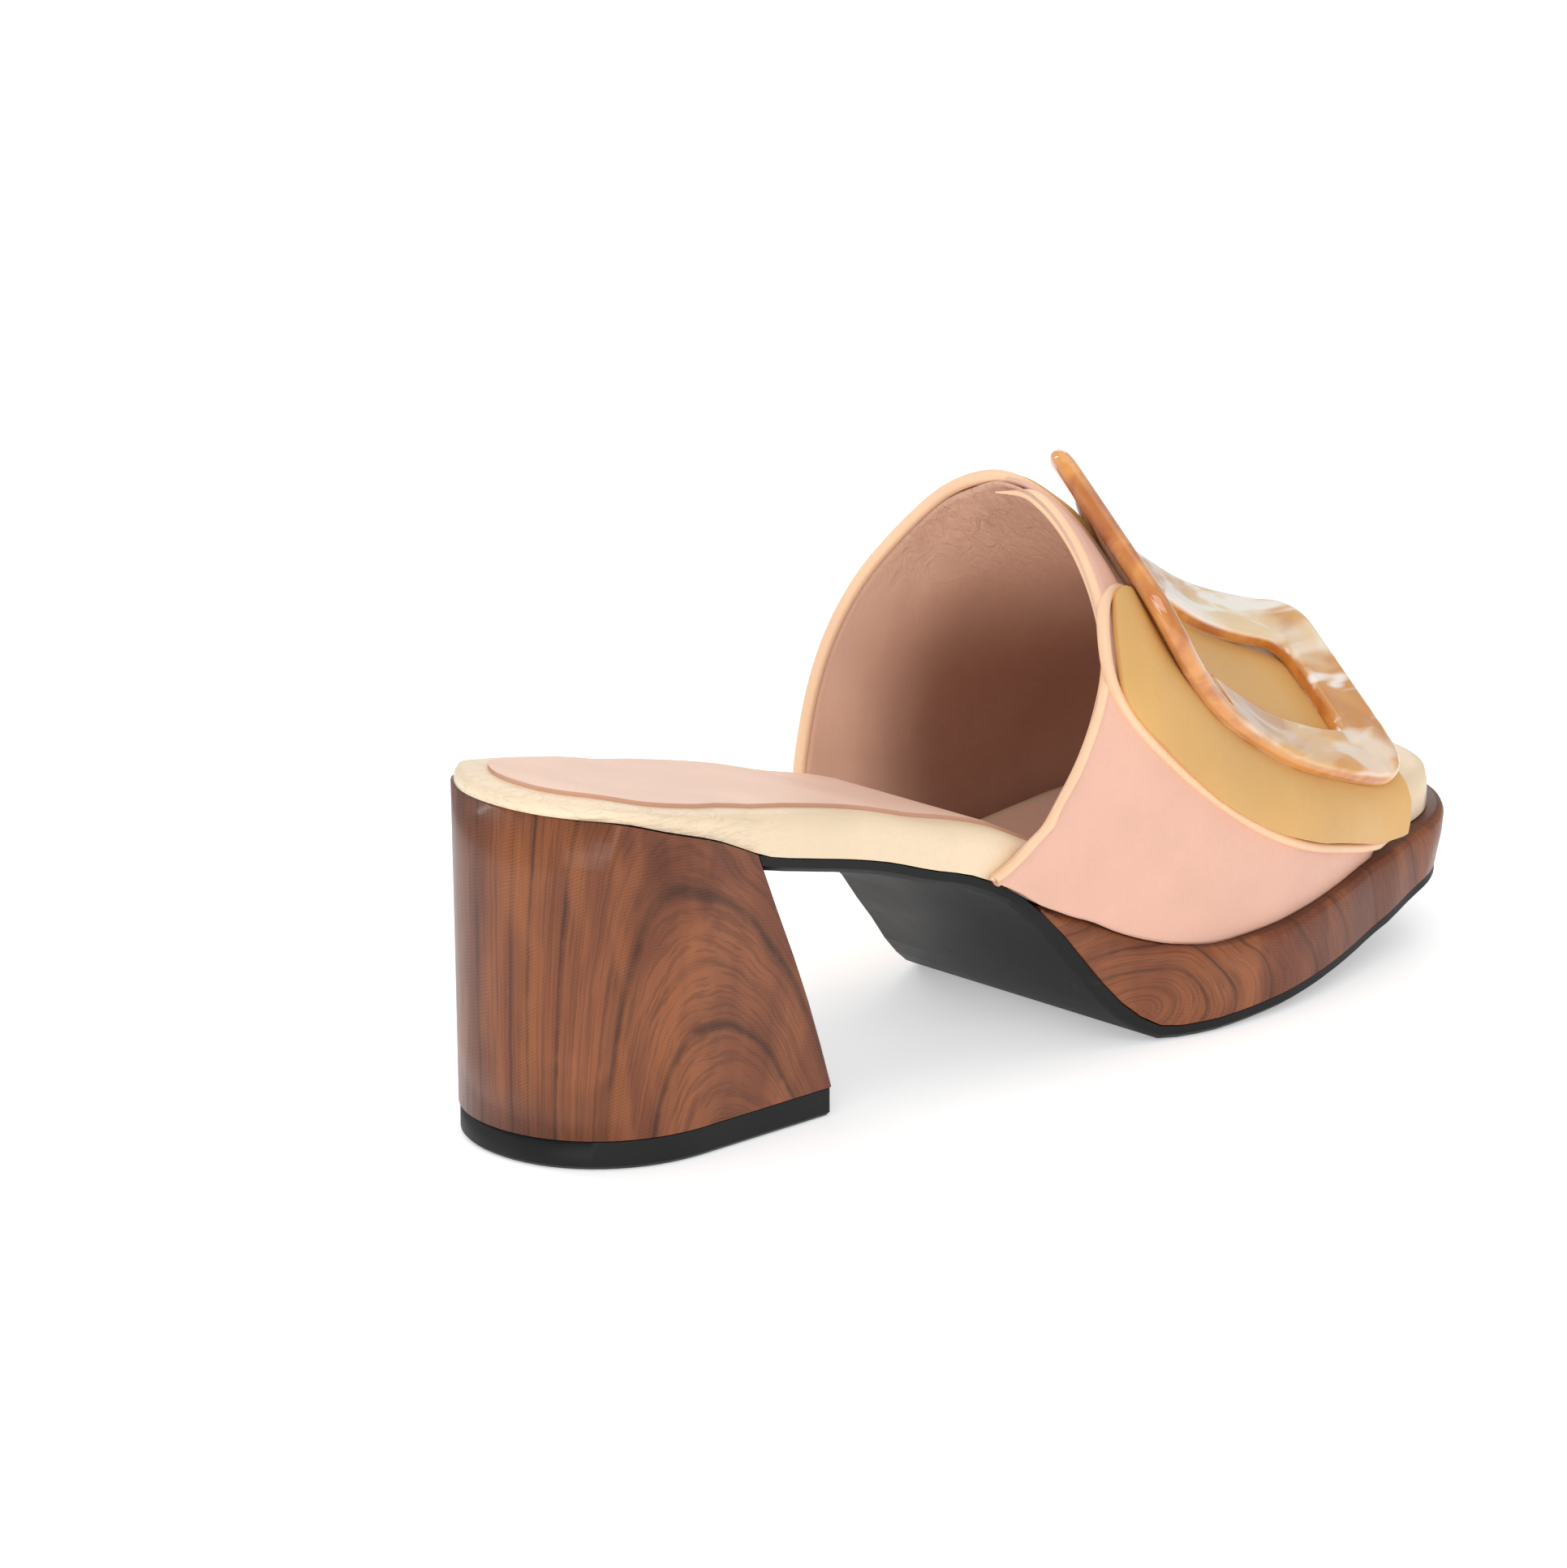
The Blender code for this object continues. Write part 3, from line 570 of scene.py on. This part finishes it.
def rubber():
    """Moulded black rubber with a fine even texture and dusty scuffs."""
    recipe = Recipe("black rubber", Specular_IOR_Level=0.24)
    where = recipe.place()
    soft = recipe.noise(where, 60.0, 4.0)
    fine = recipe.noise(where, 2400.0, 2.0)
    scuff = recipe.noise(recipe.place(scale=(1.0, 0.3, 1.0)), 260.0, 4.0).spread(0.62, 0.78)
    tone = recipe.blend(soft.spread(0.3, 0.7), linear(18, 19, 20), linear(26, 27, 27))
    tone = recipe.blend(scuff * 0.12, tone, linear(90, 90, 88))
    surface = recipe.bump(fine, 0.00005, 0.7, recipe.bump(soft, 0.0004, 0.3))
    rough = 0.50 + (soft - 0.5) * 0.18 + scuff * 0.1
    return recipe.feed(Base_Color=tone, Roughness=rough, Normal=surface)


def wood(name, figure, rings):
    """Printed wood under satin lacquer: dark rings of a trunk, hair lines and a fine weave, with a
    painted sheen and painted shade on upward faces.
    """
    recipe = Recipe(name, Specular_IOR_Level=0.24, Coat_Weight=0.14, Coat_Roughness=0.10)
    where = recipe.place()
    wave = recipe.noise(where, 24.0, 2.0)
    ripple = recipe.noise(where, 95.0, 3.0, 0.6)
    x, y, z = recipe.axes(where)
    run, reach = figure(x, y, z, wave)
    trunk = (run * run + reach * reach) ** 0.5 + (ripple - 0.5) * 0.0008 + (wave - 0.5) * 0.0030
    broad = recipe.noise(recipe.place(scale=(1.0, 1.0, 0.40)), 42.0, 3.0, 0.6, 0.7)
    patch = recipe.noise(where, 19.0, 2.0, 0.5, 0.5)
    light, mid, dark = linear(152, 90, 56), linear(110, 56, 36), linear(42, 18, 11)
    tone = recipe.blend(broad.spread(0.32, 0.66), mid, light)
    tone = recipe.blend(patch.spread(0.44, 0.66) * 0.55, tone, linear(78, 34, 22))
    growth = (trunk * 7000.0 + ripple * 5.0).sine() * 0.5 + 0.5
    tone = recipe.blend(growth * broad.spread(0.38, 0.60, 0.02, 0.08), tone, linear(84, 42, 30))
    lines = 0.0
    for ring in rings:
        gap = (trunk - ring.radius).size()
        soft = 1.0 - gap.spread(0.0, ring.width * 7.0)
        core = 1.0 - gap.spread(0.0, ring.width * 1.3)
        lines = lines + (core * 0.66 + soft * 0.30) * ring.strength
    lines = (lines * ripple.spread(0.25, 0.55, 0.45, 1.0)).clamped()
    tone = recipe.blend(lines * 0.86, tone, dark)
    along = recipe.add("ShaderNodeCombineXYZ", {}, X=trunk, Y=run * 0.035, Z=reach * 0.035)
    bands = recipe.noise(along, 560.0, 2.0, 0.6)
    tone = recipe.blend(bands.spread(0.50, 0.68) * 0.16, tone, linear(70, 34, 24))
    tone = recipe.blend((1.0 - bands).spread(0.52, 0.70) * 0.12, tone, linear(168, 106, 66))
    hair = recipe.noise(along, 3600.0, 2.0)
    tone = recipe.blend(hair.spread(0.48, 0.62) * 0.36, tone, linear(66, 32, 22))
    tone = recipe.blend(trunk.spread(0.048, 0.092) * 0.60, tone, linear(66, 34, 26))
    # Painted sheen: lighter diagonal bands, fewer at the back, and the weave lighter under them.
    painted_sheen = recipe.noise(recipe.place(scale=(1.0, 1.0, 0.22), turn=(0.45, 0.0, 0.0)), 130.0, 2.0)
    painted_sheen = painted_sheen.spread(0.50, 0.66) * (1.0 - y.spread(-0.024, 0.004) * 0.7)
    tone = recipe.blend(painted_sheen * 0.26, tone, linear(164, 96, 52))
    weave = (z * 9000.0 + trunk * 5200.0 + ripple * 14.0).sine() * 0.5 + 0.5
    tone = recipe.blend(weave * (painted_sheen * 0.6 + 0.4) * 0.13, tone, linear(196, 130, 80))
    # Painted shade: faces that look upwards are darkened.
    upward_shade = recipe.axes(recipe.add("ShaderNodeNewGeometry", {}, output="Normal"))[2]
    tone = recipe.blend(upward_shade.spread(0.70, 0.97) * 0.55, tone, linear(60, 32, 24))
    surface = recipe.bump(hair * 0.4 - lines, 0.00006, 0.6)
    rough = 0.36 + (broad - 0.5) * 0.12 + lines * 0.06
    return recipe.feed(Base_Color=tone, Roughness=rough, Normal=surface)


def heel_figure(x, y, z, wave):
    """Arches up the lateral face, with the trunk's axis leaning back."""
    run = y + 0.94 * x + z * 0.17 - 0.02994 + (wave - 0.5) * 0.004
    return run, z * 0.224 + 0.0338


def platform_figure(x, y, z, wave):
    """Round knot on the lateral wall, drawn out towards the toe."""
    run = (y - 0.106) * 0.62 + (wave - 0.5) * 0.012
    return run, z * 1.1 - 0.008 + (x - 0.040) * 0.15


HEEL_RINGS = (
    Ring(0.0350, 0.50, 0.0004),
    Ring(0.0396, 1.00, 0.0004),
    Ring(0.0428, 0.30, 0.0003),
    Ring(0.0462, 1.00, 0.0005),
    Ring(0.0484, 0.30, 0.0003),
    Ring(0.0506, 0.45, 0.0003),
    Ring(0.0532, 0.30, 0.0003),
    Ring(0.0558, 1.00, 0.0005),
    Ring(0.0615, 0.90, 0.0004),
    Ring(0.0650, 0.80, 0.0004),
    Ring(0.0720, 0.80, 0.0004),
    Ring(0.0800, 0.80, 0.0005),
    Ring(0.0890, 0.80, 0.0004),
    Ring(0.0960, 0.60, 0.0004),
)
PLATFORM_RINGS = (
    Ring(0.0055, 0.50, 0.0003),
    Ring(0.0095, 0.90, 0.0004),
    Ring(0.0150, 0.90, 0.0004),
    Ring(0.0220, 0.70, 0.0003),
    Ring(0.0290, 0.90, 0.0004),
    Ring(0.0370, 0.70, 0.0004),
    Ring(0.0460, 0.80, 0.0004),
    Ring(0.0560, 0.70, 0.0004),
)


def resin():
    """Marbled resin: amber with pearl clouds, deep orange at its cut edges and rear bar."""
    recipe = Recipe("marbled resin", Specular_IOR_Level=0.55, Coat_Weight=1.0, Coat_Roughness=0.02,
                    Subsurface_Weight=0.15, Subsurface_Scale=0.003)
    recipe.shader.inputs["Subsurface Radius"].default_value = (1.0, 0.45, 0.15)
    where = recipe.place()
    x, y = recipe.axes(where)[:2]
    warp = recipe.noise(where, 40.0, 2.0, 0.5, 0.8)
    leaning = recipe.place(scale=(1.0, 0.5, 0.8), turn=(0.2, 0.1, 0.5))
    crossing = recipe.place(scale=(1.6, 0.45, 1.0), turn=(0.1, 0.3, -0.5))
    cloud = recipe.noise(leaning, 44.0, 3.0, 0.5, 1.2)
    streak = recipe.noise(crossing, 70.0, 2.0, 0.5, 1.0)
    edge = recipe.add("ShaderNodeAttribute", {"attribute_name": "cut_edge"}, output="Fac")
    rear = 1.0 - y.spread(0.118, 0.146)
    pearl = recipe.blend(warp.spread(0.35, 0.65), linear(247, 230, 205), linear(238, 204, 154))
    amber = recipe.blend(warp.spread(0.30, 0.70), linear(205, 138, 62), linear(230, 176, 104))
    milk = linear(253, 247, 238)
    corner = x.spread(0.018, 0.040)
    face = recipe.blend((cloud.spread(0.44, 0.58) + corner * 0.6).clamped(), pearl, amber)
    face = recipe.blend(streak.spread(0.47, 0.60) * (0.9 - corner * 0.4), face, milk)
    band = recipe.noise(recipe.place(scale=(1.0, 0.7, 1.0)), 75.0, 3.0, 0.6, 0.6)
    rim = recipe.blend(band.spread(0.34, 0.66), linear(188, 106, 36), linear(228, 156, 74))
    deep = recipe.blend(band.spread(0.30, 0.70), linear(166, 88, 34), linear(226, 160, 98))
    tone = recipe.blend(rear * 0.9, face, deep)
    tone = recipe.blend(edge, tone, rim)
    rough = 0.10 + (warp - 0.5) * 0.05
    return recipe.feed(Base_Color=tone, Roughness=rough)


PINK = leather("pink leather", linear(232, 183, 162))
MUSTARD = leather("mustard leather", linear(222, 174, 106), roughness=0.36)
BINDING = leather("peach binding", linear(246, 205, 168), roughness=0.42)
CREAM = leather("cream leather", linear(242, 219, 188), roughness=0.40, creases=0.00025)
SOCK_PINK = leather("sock leather", linear(243, 206, 185), roughness=0.50)
SOCK_LINE = leather("pressed line", linear(208, 163, 139), roughness=0.55)
LINING_PINK = lining_leather()
RUBBER = rubber()
HEEL_WOOD = wood("heel wood print", heel_figure, HEEL_RINGS)
PLATFORM_WOOD = wood("platform wood print", platform_figure, PLATFORM_RINGS)
RESIN = resin()


def trim_sock(piece):
    """Keep the top of the sock inside its edge, pressed down along a seam, with a short skirt."""
    piece.data.materials.append(SOCK_LINE)
    work = bmesh.new()
    work.from_mesh(piece.data)
    top = [face for face in work.faces if face.normal.z > 0.75]

    def inset(thickness):
        return bmesh.ops.inset_region(work, faces=top, thickness=thickness, depth=0.0,
                                      use_even_offset=True)["faces"]

    inset(SOCK_INSET)
    kept = set(top)
    outside = [face for face in work.faces if face not in kept]
    bmesh.ops.delete(work, geom=outside, context="FACES")
    line = inset(SOCK_SEAM)
    inset(SOCK_SLOPE)
    seam = {vert for face in line for vert in face.verts}
    bmesh.ops.translate(work, verts=list(seam), vec=(0.0, 0.0, -SOCK_PRESS))
    rim = [edge for edge in work.edges if edge.is_boundary]
    skirt = bmesh.ops.extrude_edge_only(work, edges=rim)["geom"]
    low = [item for item in skirt if isinstance(item, bmesh.types.BMVert)]
    bmesh.ops.translate(work, verts=low, vec=(0.0, 0.0, -SOCK_SKIRT))
    for face in line + [item for item in skirt if isinstance(item, bmesh.types.BMFace)]:
        face.material_index = 1
    bmesh.ops.recalc_face_normals(work, faces=work.faces)
    work.to_mesh(piece.data)
    work.free()
    piece.data.shade_smooth()
    piece.data.set_sharp_from_angle(angle=math.radians(24.0))


def bottom_pieces():
    dressed("top_piece", "heel_tip", RUBBER)
    dressed("heel", "wood_heel", HEEL_WOOD)
    dressed("outsole", "rubber_outsole", RUBBER)
    dressed("platform", "wood_platform", PLATFORM_WOOD)
    dressed("footbed", "covered_footbed", CREAM)
    sock = dressed("sock", "sock_lining", SOCK_PINK)
    trim_sock(sock)


def make_lining():
    """Inner leather of the whole vamp."""
    def place(u, v):
        along = mix(COLLAR(u), TOE_EDGE(u), v)
        return layer_point(u, along, -WALL + LINING)

    piece = finish_piece("vamp_lining", woven(120, 48, place), LINING_PINK)
    thicken(piece, LINING)


def make_quarter():
    """Pink lateral quarter, tucked under the strap at the crown."""
    def place(u, v):
        around = QUARTER_END * u
        along = mix(COLLAR(around) + EDGE_TUCK, TOE_EDGE(around), v)
        return layer_point(around, along, -QUARTER_SKIN)

    piece = finish_piece("pink_quarter", woven(90, 48, place), PINK)
    thicken(piece, QUARTER_THICK)


def make_strap():
    """Mustard strap: medial wall, crown, neck and lateral flap."""
    def place(u, v):
        around = mix(STRAP[0].around, 1.0, u)
        along = mix(strap_rear(around) + EDGE_TUCK, strap_front(around), v)
        return layer_point(around, along, strap_lift(around))

    piece = finish_piece("mustard_strap", woven(180, 56, place), MUSTARD)
    thicken(piece, STRAP_THICK)
    soften(piece, STRAP_SOFT_EDGE)
    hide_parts("upper")


def eased_line(line, lift):
    """Points and normals along line(t), smoothed so that the binding runs fair."""
    spots = []
    for i in range(BINDING_SPOTS + 1):
        around, along = line(i / BINDING_SPOTS)
        point, normal = last_frame(around, along)
        spots.append((point + normal * lift(around), normal))
    for _ in range(BINDING_EASING):
        eased = [((a[0] + b[0] + c[0]) / 3.0, (a[1] + b[1] + c[1]).normalized())
                 for a, b, c in zip(spots, spots[1:], spots[2:])]
        spots = [spots[0]] + eased + [spots[-1]]
    return spots


def make_binding(name, line, lift, inner, outer, tip):
    """Rolled binding over an edge, from its inner to its outer height, slimmer over its tip."""
    spots = eased_line(line, lift)
    half = 0.5 * (outer - inner) + BINDING_SKIN
    middle = 0.5 * (outer + inner)
    reach = 0.5 * BINDING_WIDTH
    power = 2.0 / BINDING_SQUARENESS

    def place(u, v):
        i = min(int(round(u * BINDING_SPOTS)), BINDING_SPOTS)
        point, normal = spots[i]
        before, after = spots[max(i - 1, 0)][0], spots[min(i + 1, BINDING_SPOTS)][0]
        side = (after - before).normalized().cross(normal).normalized()
        angle = 2.0 * math.pi * v
        c, s = math.cos(angle), math.sin(angle)
        wide = math.copysign(abs(c) ** power, c) * reach
        tall = math.copysign(abs(s) ** power, s) * half
        slim = 1.0 - 0.85 * ease(u, 1.0 - tip, 1.0)
        return point + side * (reach + wide * slim) + normal * (middle + tall * slim)

    work = woven(BINDING_SPOTS, 16, place, joined=True)
    ends = [edge for edge in work.edges if edge.is_boundary]
    bmesh.ops.holes_fill(work, edges=ends, sides=0)
    finish_piece(name, work, BINDING, crease=60.0)


def make_bindings():
    """Bindings along the quarter's collar and along the strap's rear edge."""
    def lateral(t):
        around = mix(0.012, 0.515, t)
        return around, COLLAR(around)

    def rear(t):
        around = mix(0.988, STRAP[0].around, t)
        return around, strap_rear(around)

    def sunk(around):
        """The lateral binding dives under the strap's at the crown."""
        return -WALL * ease(around, 0.45, 0.51)

    make_binding("lateral_binding", lateral, sunk, -WALL, 0.0002, 0.16)
    make_binding("strap_binding", rear, strap_lift, -STRAP_THICK, 0.0003, 0.02)


def buckle_point(across, along, lift):
    """Point of the bent frame: across and along it, at a height over its middle face."""
    share = along / BUCKLE_LENGTH

    def middle(s):
        return Vector((0.0, BUCKLE_LENGTH * PROFILE_Y(s), BUCKLE_LENGTH * PROFILE_Z(s)))

    tangent = (middle(share + PROFILE_STEP) - middle(share - PROFILE_STEP)).normalized()
    normal = BUCKLE_CROSSWISE.cross(tangent).normalized()
    return BUCKLE_FOOT + middle(share) + BUCKLE_CROSSWISE * across + normal * lift


def frame_line(inset, corner):
    """Rounded rectangle of the buckle's frame, as (across, along) places."""
    turns, straight = 12, 24
    half = 0.5 * BUCKLE_WIDTH - inset
    low, high = inset, BUCKLE_LENGTH - inset
    centres = (
        Vector((half - corner, high - corner)),
        Vector((corner - half, high - corner)),
        Vector((corner - half, low + corner)),
        Vector((half - corner, low + corner)),
    )

    def rounded(quarter, share):
        angle = math.radians(90.0 * (quarter + share))
        return centres[quarter] + corner * Vector((math.cos(angle), math.sin(angle)))

    places = []
    for quarter in range(4):
        places += [rounded(quarter, k / turns) for k in range(turns + 1)]
        start, end = places[-1], rounded((quarter + 1) % 4, 0.0)
        places += [start.lerp(end, k / straight) for k in range(1, straight)]
    return places


def bar_section(soft_wide, soft_tall):
    """Section of the bar: rounded corners, flat sides and subdivided broad faces."""
    turns, faces = 8, 12
    ring = []
    for quarter, (x, y) in enumerate(((1.0, 1.0), (-1.0, 1.0), (-1.0, -1.0), (1.0, -1.0))):
        arc = []
        for k in range(turns + 1):
            angle = math.radians(90.0 * (quarter + k / turns))
            wide = x * (1.0 - soft_wide) + soft_wide * math.cos(angle)
            arc.append(Vector((wide, y * (1.0 - soft_tall) + soft_tall * math.sin(angle))))
        if quarter % 2 == 1:
            ring += [ring[-1].lerp(arc[0], k / faces) for k in range(1, faces)]
        ring += arc
    return ring


def make_buckle():
    """Resin frame with rounded edges and a low ripple at one corner."""
    outer = frame_line(0.0, BUCKLE_CORNER)
    inner = frame_line(BUCKLE_BAR, BUCKLE_EYE_CORNER)
    count = len(outer)
    half = 0.5 * BUCKLE_THICK
    ring = bar_section(BUCKLE_SOFT_EDGE / (0.5 * BUCKLE_BAR), BUCKLE_SOFT_EDGE / half)
    section = len(ring)

    def ripple(spot):
        near = ease(spot.x, 0.004, 0.016) * ease(spot.y, 0.058, 0.072)
        wave = noise.noise(Vector((spot.x, spot.y, 0.0)) * 260.0)
        return near * RIPPLE_HEIGHT * max(wave, -0.2)

    def place(u, v):
        i = int(round(u * count)) % count
        wide, tall = ring[int(round(v * section)) % section]
        spot = outer[i].lerp(inner[i], 0.5 + 0.5 * wide)
        lift = half * tall + ripple(spot) * max(tall, 0.0)
        return buckle_point(spot.x, spot.y, lift)

    piece = finish_piece("resin_buckle", woven(count, section, place, joined=True), RESIN)
    mark_cut_edges(piece)
    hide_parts("buckle")


def mark_cut_edges(piece):
    """Attribute that is 1 on the frame's side faces and 0 on its broad faces."""
    mesh = piece.data
    marks = mesh.attributes.new("cut_edge", "FLOAT", "POINT")
    for vert, mark in zip(mesh.vertices, marks.data):
        forward = inside_profile((vert.co - SHOE - BUCKLE_FOOT).y / BUCKLE_LENGTH)
        normal = buckle_normal(buckle_slope(forward))
        mark.value = 1.0 - ease(abs(vert.normal.dot(normal)), 0.25, 0.62)


def make_stage():
    """Plain pale floor."""
    work = bmesh.new()
    bmesh.ops.create_grid(work, x_segments=1, y_segments=1, size=4.0)
    mesh = bpy.data.meshes.new("floor")
    work.to_mesh(mesh)
    work.free()
    recipe = Recipe("pale floor", Roughness=0.85, Specular_IOR_Level=0.1)
    recipe.shader.inputs["Base Color"].default_value = (0.92, 0.92, 0.92, 1.0)
    recipe.shader.inputs["Emission Color"].default_value = (1.0, 1.0, 1.0, 1.0)
    recipe.shader.inputs["Emission Strength"].default_value = 0.38
    mesh.materials.append(recipe.material)
    floor = bpy.data.objects.new("floor", mesh)
    floor.location = (0.0, 0.0, -0.0002)
    bpy.context.scene.collection.objects.link(floor)


LAMPS = (
    Lamp("key", (1.15, -0.75, 1.10), 1.1, 0.8, 6.5),
    Lamp("fill", (0.70, -1.30, 0.60), 0.9, 0.7, 4.5),
    Lamp("strip", (-1.05, -0.35, 1.03), 0.10, 0.80, 2.6),
    Lamp("top", (-0.2, 0.3, 1.7), 1.4, 1.4, 4.0),
    Lamp("back", (-1.1, 1.2, 0.9), 0.9, 0.9, 3.0),
)
LIGHTS_AIM = Vector((0.0, 0.09, 0.05))


def make_lights():
    """Soft studio: a white world and large area lamps."""
    world = bpy.data.worlds.new("studio")
    world.use_nodes = True
    background = world.node_tree.nodes["Background"]
    background.inputs["Color"].default_value = (1.0, 1.0, 1.0, 1.0)
    background.inputs["Strength"].default_value = 0.62
    bpy.context.scene.world = world
    for row in LAMPS:
        lamp = bpy.data.lights.new(row.name, "AREA")
        lamp.shape = "RECTANGLE"
        lamp.size, lamp.size_y = row.width, row.height
        lamp.energy = row.power
        item = bpy.data.objects.new(row.name, lamp)
        item.location = row.place
        item.rotation_euler = (LIGHTS_AIM - item.location).to_track_quat("-Z", "Y").to_euler()
        bpy.context.scene.collection.objects.link(item)
    bpy.context.scene.view_settings.view_transform = "Standard"


IMAGE_WIDTH = 1931.0
SENSOR = 36.0
CAMERA_FOCAL = 8167.26                  # in pixels of the image
CAMERA_TURN = math.radians(46.818)
CAMERA_PITCH = math.radians(15.930)
CAMERA_ROLL = math.radians(-0.127)
CAMERA_DISTANCE = 1.30008
CAMERA_TARGET = Vector((0.00353, 0.07394, 0.0600))


def make_camera():
    """Camera that looks at the shoe from behind on its lateral side."""
    right = Vector((math.cos(CAMERA_TURN), math.sin(CAMERA_TURN), 0.0))
    ahead = Vector((-math.sin(CAMERA_TURN), math.cos(CAMERA_TURN), 0.0)) * math.cos(CAMERA_PITCH)
    view = ahead - Vector((0.0, 0.0, math.sin(CAMERA_PITCH)))
    up = right.cross(view)
    c, s = math.cos(CAMERA_ROLL), math.sin(CAMERA_ROLL)
    right, up = right * c + up * s, up * c - right * s
    lens = bpy.data.cameras.new("camera")
    lens.sensor_width = SENSOR
    lens.lens = CAMERA_FOCAL / IMAGE_WIDTH * SENSOR
    lens.clip_start = 0.01
    camera = bpy.data.objects.new("camera", lens)
    place = CAMERA_TARGET + SHOE - view * CAMERA_DISTANCE
    turned = Matrix((right, up, -view)).transposed().to_4x4()
    camera.matrix_world = Matrix.Translation(place) @ turned
    bpy.context.scene.collection.objects.link(camera)
    bpy.context.scene.camera = camera


bottom_pieces()
make_lining()
make_quarter()
make_strap()
make_bindings()
make_buckle()
make_stage()
make_lights()
make_camera()
